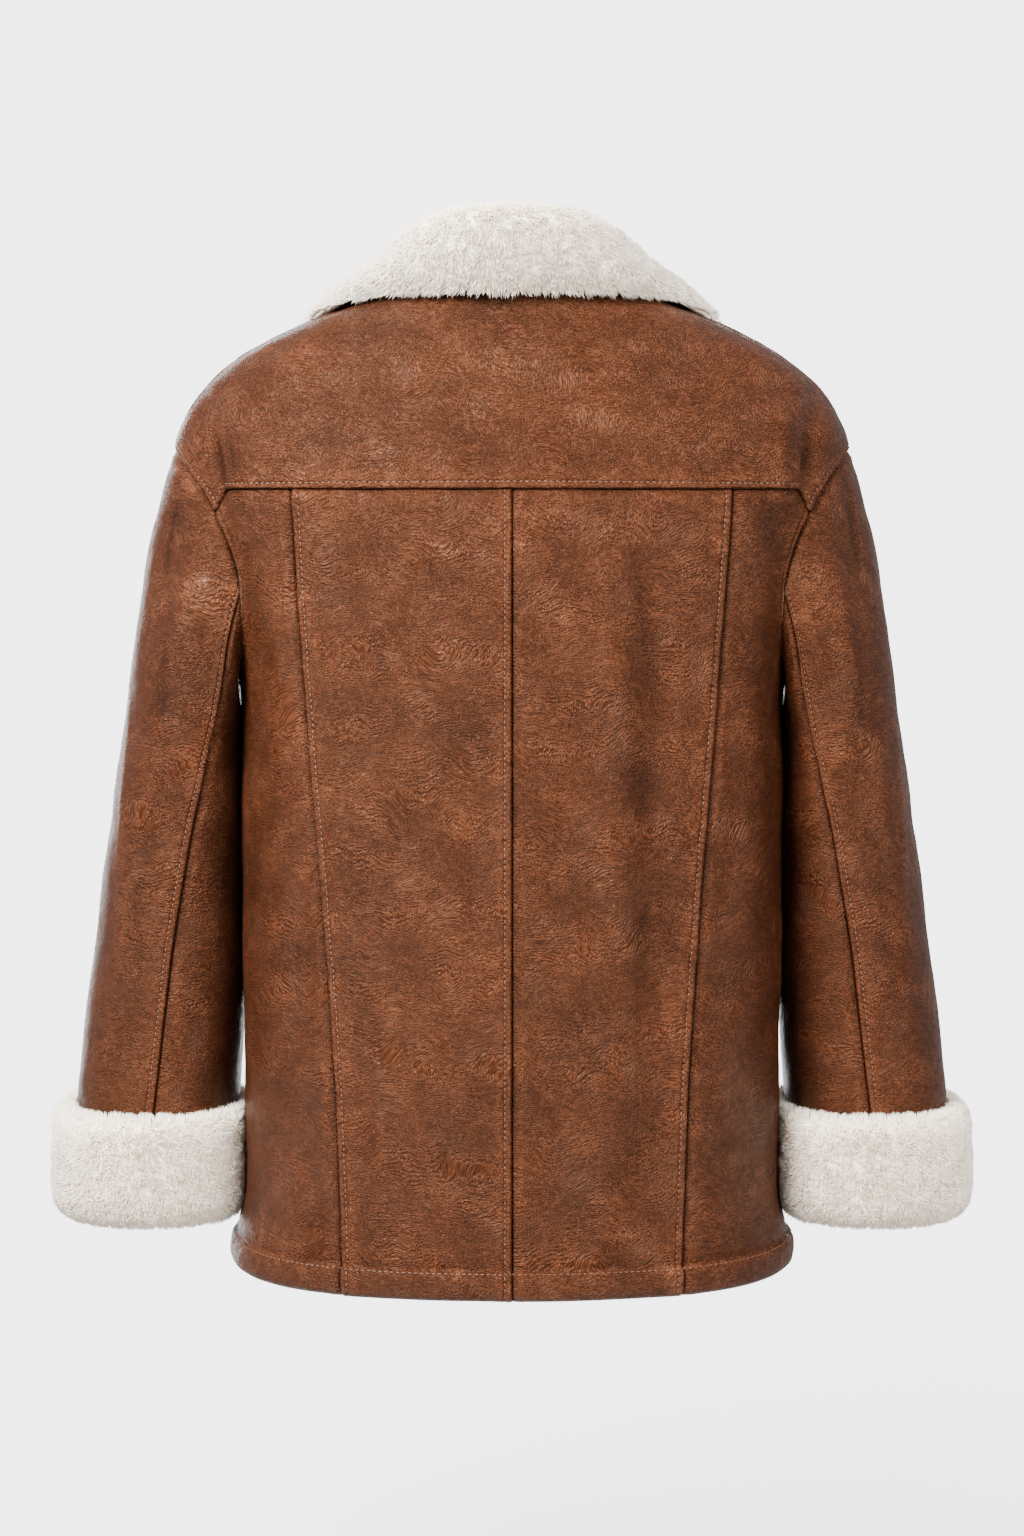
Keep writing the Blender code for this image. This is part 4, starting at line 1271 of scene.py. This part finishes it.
def pilePiece(name, place, facing, comb, rowCount, columnCount, cover, limit, seed, lengthAt):
    # place, facing and comb take row and column numbers; cover says which share of spots grows pile
    draw = np.random.default_rng(seed)
    u = np.linspace(0, rowCount - 1, pile["rows"])
    v = np.linspace(0, columnCount - 1, pile["columns"])
    uu, vv = np.meshgrid(u, v, indexing="ij")
    grid = place(uu, vv)
    a, b, c, d = corners(grid)
    size = np.linalg.norm(np.cross(c - a, d - b), axis=-1) / 2
    size = size * cover((uu[:-1, :-1] + uu[1:, 1:]) / 2, (vv[:-1, :-1] + vv[1:, 1:]) / 2)
    chosen = draw.choice(size.size, limit, p=(size / size.sum()).ravel())
    i, j = np.unravel_index(chosen, size.shape)
    atU = u[i] + draw.random(limit) * (u[1] - u[0])
    atV = v[j] + draw.random(limit) * (v[1] - v[0])
    roots, normal, down = place(atU, atV), facing(atU, atV), comb(atU, atV)
    clumps = max(8, int(size.sum() / pile["clumpSize"] ** 2 * pile["clumpShare"]))
    tree = treeOf(roots[draw.choice(limit, clumps, replace=False)])
    lean = np.zeros((limit, 3))
    border = np.zeros(limit)
    for k in range(limit):
        (first, _, near), (_, _, far) = tree.find_n(roots[k], 2)
        lean[k] = np.array(first) - roots[k]
        border[k] = far - near
    within = 1 - np.exp(-border / pile["gapWidth"])
    length = lengthAt(atU, atV) * (pile["gapLength"] + pile["clumpLength"] * within)
    length = length * draw.uniform(*pile["lengths"], limit)
    way = normal + down * pile["combed"] + lean * pile["gathered"]
    way = unit(way + draw.normal(size=(limit, 3)) * pile["stray"])
    side = unit(np.cross(way, draw.normal(size=(limit, 3))))
    other = np.cross(way, side)
    wide = pile["lockWidth"] * draw.uniform(*pile["widths"], limit)[:, None]
    turns = (0, 2 * math.pi / 3, 4 * math.pi / 3)
    foot = [
        roots + (side * math.cos(t) + other * math.sin(t)) * wide / 2 - way * pile["rooted"] for t in turns
    ]
    points = np.stack([*foot, roots + way * length[:, None]], 1).reshape(-1, 3)
    start = np.arange(limit)[:, None] * 4
    sides = [start + np.array(loop) for loop in ((0, 1, 3), (1, 2, 3), (2, 0, 3))]
    faces = np.concatenate(sides, 1).reshape(-1, 3)
    piece = newMesh(name, points, faces.tolist(), [pileFinish], smoothAngle=180)
    # painted shade: locks are darker at their roots, and darker all along in the gaps between clumps
    tipTone = pile["tipTone"] + pile["gapShadeDepth"] * within
    addNumbers(piece, "pile", np.stack([pile["rootShadeTone"] * within] * 3 + [tipTone], 1).ravel())
    ridesAs(piece, "cream_wool")
    return piece


def clumped(points, normal, seed, height):  # the base that the locks stand on, and its tone, with painted shade in the cracks between clumps
    coarse = unevenness(points, pile["clumpSize"], seed)
    fine = unevenness(points, pile["clumpSize"] / 3, seed + 1)
    cracks = -np.exp(-((coarse / woolBase["crackWidth"]) ** 2)) * woolBase["crack"]
    total = coarse * woolBase["coarse"] + fine * woolBase["fine"] + cracks
    # painted shade: the tone darkens along the cracks between clumps
    tone = baseToneAndCrackShade["level"] + baseToneAndCrackShade["crack"] * cracks + baseToneAndCrackShade["fine"] * fine
    return points + normal * (total * height)[..., None], np.clip(tone, 0, 1)


def shellPiece(name, outer, inner, pileDepth):  # a closed wool body between an outer and an inner grid
    rows, columns = outer.shape[:2]
    count = rows * columns
    index = np.arange(count).reshape(rows, columns)
    quads = quadsOf(*corners(index))
    faces = quads.tolist() + (quads[:, ::-1] + count).tolist()
    loop = np.concatenate([index[0, :], index[1:, -1], index[-1, -2::-1], index[-2:0:-1, 0]])
    ahead = np.roll(loop, -1)
    faces += np.stack([loop, loop + count, ahead + count, ahead], -1).tolist()
    piece = newMesh(name, np.concatenate([outer.reshape(-1, 3), inner.reshape(-1, 3)]), faces, [pileFinish])
    faceOutward(piece)
    addNumbers(piece, "pile", pileDepth)
    return piece


# Collar

collarSections = readTable(
    "neckAngle stand edgeAngle edgeZ belly",
    (0, 47, 0, -27, 3),
    (20, 43.5, 22, -27, 3),
    (40, 32, 44, -27.5, 4),
    (60, 19, 66, -30, 6),
    (78, 14, 80, -34.5, 7),
    (90, 12, 93, -39.5, 6),
    (100, 11, 106, -44, 4),
    (111, 11, 119, -52.5, 2),
    (121, 10, 131, -70, 0),
    (140, 9, 145, -106, 0),
    (160, 8, 156, -143, 0),
    (172, 8, 162, -164, 0),
    (178, 8, 165, -174, 0),
)
collar = {
    "endX": 12.0,
    "roll": 8.5,
    "rollSteps": 4,
    "fallSteps": 8,
    "standThick": 6.5,
    "fallThick": 12.5,
    "edgeThick": 7.0,
    "clearance": 0.3,
    "seamGap": 0.35,
    # How far its faces and the locks' roots stand from its middle, as shares of half the thickness
    "outerFace": 0.66,
    "innerFace": 0.9,
    "roots": 0.62,
    "lockLength": 5.6,
    "edgeLock": 2.6,
    "locks": 62000,
    "length": 0.80,
}


def neckRim():  # the left half of the neckline, from the centre back to the collar's front end
    across = frontTable()[0][-1]
    x = torso(across, neckZ(across))[:, 0]
    last = float(np.interp(-collar["endX"], -x, across))
    angle = np.concatenate([np.linspace(0, quarter, 12), np.linspace(quarter, last, 15)[1:]])
    z = neckZ(angle)
    return torso(angle, z), normalOf(torso, angle, z), frontLift(angle, z)[:, None], angle


def collarPath():
    rim, normal, lift, neck = neckRim()
    along = np.gradient(rim, axis=0)
    along[0] = (1, 0, 0)
    above = unit(np.cross(normal, along))
    above *= np.sign(above[:, 2:])
    rimOut = rim + normal * lift * 0.5 + above * collar["seamGap"]
    rimIn = rimOut - normal * body["hide"]
    size = {
        name: smooth(np.degrees(neck), collarSections["neckAngle"], values)[:, None]
        for name, values in collarSections.items()
    }
    radial = unit(rim * np.array([1, 1, 0]))
    up = np.array([0, 0, 1.0])
    base = (rimOut + rimIn) / 2
    top = base + up * size["stand"]
    path = [base, base + up * size["stand"] * 0.5 - radial * 0.8, top]
    for step in range(1, collar["rollSteps"] + 1):
        turn = math.pi * (1 - step / collar["rollSteps"])
        path.append(top + collar["roll"] * (radial * (1 + math.cos(turn)) + up * math.sin(turn)))
    edgeAngle, edgeZ = np.radians(size["edgeAngle"][:, 0]), size["edgeZ"][:, 0]
    edge = torso(edgeAngle, edgeZ)
    edge += normalOf(torso, edgeAngle, edgeZ) * (collar["edgeThick"] / 2 + collar["clearance"])
    start = path[-1]
    for step in range(1, collar["fallSteps"] + 1):
        share = step / collar["fallSteps"]
        path.append(start + (edge - start) * share + radial * size["belly"] * math.sin(math.pi * share))
    rolled = collar["rollSteps"] + 2
    knots = [0, 2, rolled, len(path) - 2.5, len(path) - 1]
    sizes = [collar["standThick"]] * 2 + [collar["fallThick"]] * 2 + [collar["edgeThick"]]
    thick = np.interp(np.arange(len(path)), knots, sizes)
    grid = np.stack(path, axis=1)
    grid[:, rolled:] = keepOff(grid[:, rolled:], thick[rolled:] / 2 + collar["clearance"])
    whole = np.concatenate([mirrored(grid[:0:-1]), grid])
    across = np.gradient(whole, axis=0)
    facing = unit(np.cross(across, np.gradient(whole, axis=1)))
    return whole, facing, thick


def collarPieces():
    path, facing, thick = collarPath()
    stationsCount, steps = path.shape[:2]

    def middleAt(u, v):
        return curved(path, u, v)

    def facingAt(u, v):
        return unit(curved(facing, u, v))

    def halfAt(v):
        return np.interp(v, np.arange(steps), thick) / 2

    def outerAt(u, v):
        return middleAt(u, v) + facingAt(u, v) * (halfAt(v) * collar["roots"])[..., None]

    def downAt(u, v):
        return unit(middleAt(u, np.minimum(v + 0.2, steps - 1)) - middleAt(u, np.maximum(v - 0.2, 0)))

    u, v = np.meshgrid(np.linspace(0, stationsCount - 1, 300), np.linspace(0, steps - 1, 56), indexing="ij")
    middle, out = middleAt(u, v), facingAt(u, v)
    roundOff = np.sqrt(np.clip(1 - np.clip((v - (steps - 2)) / 1.0, 0, 1) ** 2, 0.06, 1))
    above = out * (halfAt(v) * collar["outerFace"] * roundOff)[..., None]
    below = out * (halfAt(v) * collar["innerFace"] * roundOff)[..., None]
    # the tones carry painted shade in the cracks between clumps
    outer, depth = clumped(middle + above, out, 41, woolBase["collarHeight"])
    inner, depthIn = clumped(middle - below, out, 43, woolBase["insideHeight"])
    piece = shellPiece("collar", outer, inner, np.concatenate([depth.ravel(), depthIn.ravel()]))
    ridesAs(piece, "cream_wool", "collar")

    def cover(u, v):
        return np.clip(0.35 + 0.65 * fade(v, 1, 3) + 0.5 * fade(v, steps - 3, steps - 1), 0, 2)

    def lengthAt(u, v):
        return collar["lockLength"] + collar["edgeLock"] * fade(v, steps - 3.2, steps - 1)

    spots = (stationsCount, steps, cover, collar["locks"], 51)
    fur = pilePiece("collar_pile", outerAt, facingAt, downAt, *spots, lengthAt)
    area, long = areaOf(outer), collar["length"]


collarPieces()
print("collar made")

# Cuffs: the sleeve's end turned back, wool side out

cuffSection = readTable(
    "out z",
    (0.5, -648),
    (5, -645),
    (11, -646),
    (15.5, -650.5),
    (17.8, -659),
    (18, -675),
    (18, -697),
    (17.4, -712),
    (14.6, -722.5),
    (9.5, -728.7),
    (2.5, -731.6),
    (-4, -731.4),
    (-7.4, -729),
    (-7, -726),
    (-3, -724.5),
    (0.5, -724.5),
    (0.5, -700),
    (0.5, -673),
)
cuff = {
    "clearance": 1.2,
    "shrink": 3.2,  # how far the base lies beneath the locks' tips
    "lockLength": 5.2,
    "foldLock": 2.2,
    "locks": 46000,
}


def cuffGrid(sleeveOuter):
    rows = []
    for out, z in zip(cuffSection["out"], cuffSection["z"]):
        ring = np.interp(-z, -sleeveOuter[:, :, 2].mean(1), np.arange(len(sleeveOuter)))
        low = int(min(ring, len(sleeveOuter) - 2))
        points = sleeveOuter[low] * (1 - (ring - low)) + sleeveOuter[low + 1] * (ring - low)
        tangent = unit(np.roll(points, -1, axis=0) - np.roll(points, 1, axis=0))
        points = points + unit(np.cross(tangent, [0, 0, 1.0])) * out
        points[:, 2] = z
        rows.append(points)
    return keepOff(np.array(rows), cuff["clearance"])


def cuffPieces(hand, turn):
    section = turn(cuffGrid(sleeveGrid))
    rows, count = section.shape[:2]
    closed = np.concatenate([section, section[:1]])
    closed = np.concatenate([closed[:, -2:], closed, closed[:, :3]], axis=1)
    closed = np.concatenate([closed[-3:-1], closed, closed[1:3]])

    def surface(u, v):
        return curved(closed, u + 2, v + 2)

    def facingAt(u, v):
        small = 0.05
        across = surface(u, v + small) - surface(u, v - small)
        down = surface(u + small, v) - surface(u - small, v)
        normal = unit(np.cross(down, across))
        return normal if hand == "left" else -normal

    u, v = np.meshgrid(np.linspace(0, rows, 75)[:-1], np.linspace(0, count, 191)[:-1], indexing="ij")
    points, out = surface(u, v), facingAt(u, v)
    woolly = fade(np.abs(u - 6), 10.5, 7.5)
    points = points - out * (cuff["shrink"] * woolly)[..., None]
    # the tone carries painted shade in the cracks between clumps
    points, depth = clumped(points, out, 61, woolBase["cuffHeight"])
    index = np.arange(points.shape[0] * points.shape[1]).reshape(points.shape[:2])
    beside, below = np.roll(index, -1, 1), np.roll(index, -1, 0)
    faces = quadsOf(index, beside, np.roll(beside, -1, 0), below)
    piece = newMesh(f"cuff_{hand}", points.reshape(-1, 3), faces.tolist(), [pileFinish])
    faceOutward(piece)
    addNumbers(piece, "pile", depth.ravel())
    ridesAs(piece, "cream_wool", f"cuff_{hand}")

    def rootAt(u, v):
        return surface(u, v) - facingAt(u, v) * cuff["shrink"]

    def combAt(u, v):
        upward = np.array([0, 0, 1.0]) * fade(4.5 - u, -1.5, 3)[..., None]
        return upward + np.array([0, 0, -1.0]) * fade(u - 4.5, -1, 4)[..., None] * 0.6

    def cover(u, v):
        return (u < 13.5) * 1.0

    def lengthAt(u, v):
        longer = cuff["foldLock"] * np.exp(-(((u - 1.2) / 1.6) ** 2))
        return cuff["lockLength"] + longer - 1.2 * fade(u, 10, 13)

    spots = (14, count + 1, cover, cuff["locks"], 71)
    fur = pilePiece(f"cuff_{hand}_pile", rootAt, facingAt, combAt, *spots, lengthAt)
    around = float(walked(points[20:21], 1)[0, -1]) * mm
    area = areaOf(points) / 2  # of one side


for hand, turn in hands:
    cuffPieces(hand, turn)
print("cuffs made")

# Buttons

button = {
    "radius": 14.0,
    "thick": 4.5,
    "topZ": -128.0,
    "pitch": 135.0,
    "lift": 0.6,
    "bevel": 0.7,
    "dish": ((0.2, 0), (0.08, -0.32), (0.3, -0.06)),  # widths by the radius, and depths by the thickness
    "backRim": 0.25,
    "holeRadius": 1.3,
    "holeAt": 3.0,
    "diagonal": 0.7071,
    "threadRadius": 0.6,
    "threadSides": 6,
    "threadPath": ((1, 0.35), (0.8, 0.72), (-0.8, 0.72), (-1, 0.35)),  # along it, and up by the thickness
}


def selectFaces(piece, chosen):
    bpy.ops.object.mode_set(mode="OBJECT")
    for face in piece.data.polygons:
        face.select = bool(chosen(face))
    for edge in piece.data.edges:
        edge.select = False
    bpy.ops.object.mode_set(mode="EDIT")


def buttonPiece(number):
    bpy.ops.object.select_all(action="DESELECT")
    r, thick = button["radius"] * mm, button["thick"] * mm
    bpy.ops.mesh.primitive_cylinder_add(vertices=48, radius=r, depth=thick, location=(0, 0, thick / 2))
    piece = bpy.context.active_object
    piece.name = f"button_{number}_horn"
    bpy.ops.object.mode_set(mode="EDIT")
    bpy.ops.mesh.select_mode(type="FACE")
    selectFaces(piece, lambda face: face.normal.z > 0.9)
    for wide, deep in button["dish"]:
        bpy.ops.mesh.inset(thickness=r * wide, depth=thick * deep)
    selectFaces(piece, lambda face: face.normal.z < -0.9)
    bpy.ops.mesh.inset(thickness=r * button["backRim"], depth=0)
    bpy.ops.object.mode_set(mode="OBJECT")
    bevel = piece.modifiers.new("edge", "BEVEL")
    bevel.width, bevel.segments, bevel.limit_method = button["bevel"] * mm, 3, "ANGLE"
    bpy.ops.object.modifier_apply(modifier="edge")
    for turn in range(4):
        a = math.pi / 4 + turn * quarter
        bpy.ops.object.select_all(action="DESELECT")
        at = (math.cos(a) * button["holeAt"] * mm, math.sin(a) * button["holeAt"] * mm, thick / 2)
        wide = button["holeRadius"] * mm
        bpy.ops.mesh.primitive_cylinder_add(vertices=16, radius=wide, depth=thick * 3, location=at)
        cutter = bpy.context.active_object
        bpy.context.view_layer.objects.active = piece
        cut = piece.modifiers.new("hole", "BOOLEAN")
        cut.operation, cut.object = "DIFFERENCE", cutter
        bpy.ops.object.modifier_apply(modifier="hole")
        bpy.data.objects.remove(cutter)
    piece.data.materials.clear()
    piece.data.materials.append(hornFinish)
    piece.data.shade_smooth()
    piece.data.set_sharp_from_angle(angle=math.radians(35))
    z = button["topZ"] - button["pitch"] * (number - 1)
    normal = normalOf(torso, math.pi, z)
    seat = (torso(math.pi, z) + normal * (body["hide"] + body["overlapGap"] + button["lift"])) * mm
    turned = Vector(normal).to_track_quat("Z", "Y").to_matrix().to_4x4()
    turned.translation = Vector(seat)
    piece.data.transform(turned)
    piece.location = (0, 0, 0)
    ridesAs(piece, "dark_horn", f"button_{number}")
    threads = []
    for way in (1, -1):
        end = np.array([-1, -way]) * button["holeAt"] * button["diagonal"]
        path = [turned @ Vector([*(end * along * mm), up * thick]) for along, up in button["threadPath"]]
        threads.append((np.array(path) / mm, np.repeat(np.array(normal)[None], len(path), axis=0)))
    return threads


def threadCross(name, paths):
    points, faces = [], []
    turns = np.linspace(0, 2 * math.pi, button["threadSides"], endpoint=False)
    for path, facing in paths:
        along = unit(np.gradient(path, axis=0))
        side = unit(np.cross(facing, along))
        up = np.cross(along, side)
        faces += tubeFaces(len(points), len(path), len(turns))
        for k, place in enumerate(path):
            for a in turns:
                out = side[k] * math.cos(a) + up[k] * math.sin(a)
                points.append(place + out * button["threadRadius"])
    piece = newMesh(name, points, faces, [threadFinish])
    faceOutward(piece)
    ridesAs(piece, "brown_leather")


crossed = []
for number in range(1, 5):
    crossed += buttonPiece(number)
threadCross("button_threads", crossed)
print("buttons made")

# Floor, light and camera

studio = {
    "floorZ": -1.15,
    "floorRadius": 3.0,
    "pale": "#ededed",
    "cameraDistance": 2.35,
    "elevation": math.radians(4.65),
    "targetZ": -0.383,
    "lens": 71.5,
    "sensor": 36,
    "seen": 4.55,  # the background's strength where the camera sees it, and as light on the jacket
    "ambient": 0.85,
}


# Matt seamless studio paper, the same tone as the background, that fades out before its edge
def paperMaterial():
    material, tree, shader, here = newMaterial("studio_paper")
    away = worked(tree, "LENGTH", here, kind="ShaderNodeVectorMath").outputs["Value"]
    shown = scaled(tree, away, 0.3, 1.6, 0.45, 0.0)
    setInputs(tree, shader, {"Base Color": linear(studio["pale"]), "Roughness": 0.9}, {"Alpha": shown})
    return material


bpy.ops.object.select_all(action="DESELECT")
bpy.ops.mesh.primitive_circle_add(
    vertices=96, radius=studio["floorRadius"], fill_type="NGON", location=(0, 0, studio["floorZ"])
)
floor = bpy.context.active_object
floor.name = "floor"
floor.data.materials.append(paperMaterial())
floor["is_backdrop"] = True

world = bpy.data.worlds.new("studio")
bpy.context.scene.world = world
world.use_nodes = True
tree = world.node_tree
tree.nodes.clear()
ambient, seen = (
    addNode(tree, "ShaderNodeBackground", {"Color": grey(1), "Strength": studio[name]}).outputs[0]
    for name in ("ambient", "seen")
)
camera = addNode(tree, "ShaderNodeLightPath").outputs["Is Camera Ray"]
mixed = addNode(tree, "ShaderNodeMixShader", None, {"Fac": camera, 1: ambient, 2: seen})
addNode(tree, "ShaderNodeOutputWorld", None, {"Surface": mixed.outputs[0]})


def facingTarget(place):
    return (Vector((0, 0, studio["targetZ"])) - Vector(place)).to_track_quat("-Z", "Y").to_euler()


def areaLight(name, place, size, watts):
    light = bpy.data.lights.new(name, "AREA")
    light.shape, light.size, light.energy = "DISK", size, watts
    lamp = bpy.data.objects.new(name, light)
    lamp.location = place
    lamp.rotation_euler = facingTarget(place)
    bpy.context.scene.collection.objects.link(lamp)


# One large soft light stands on each side behind the jacket, and a larger one in front for the other views
areaLight("key_light", (1.35, 1.7, 1.3), 1.4, 520)
areaLight("fill_light", (-1.6, 2.2, 0.7), 2.0, 210)
areaLight("front_light", (0.5, -2.9, -0.4), 3.0, 260)

lens = bpy.data.cameras.new("camera")
lens.lens, lens.sensor_width = studio["lens"], studio["sensor"]
view = bpy.data.objects.new("camera", lens)
bpy.context.scene.collection.objects.link(view)
away, tall = studio["cameraDistance"], studio["elevation"]
view.location = (0, away * math.cos(tall), studio["targetZ"] + away * math.sin(tall))
view.rotation_euler = facingTarget(view.location)
bpy.context.scene.camera = view
print("studio made")

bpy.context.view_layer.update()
shown = [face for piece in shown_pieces() if piece.type == "MESH" for face in piece.data.polygons]
print("triangles", sum(len(face.vertices) - 2 for face in shown))
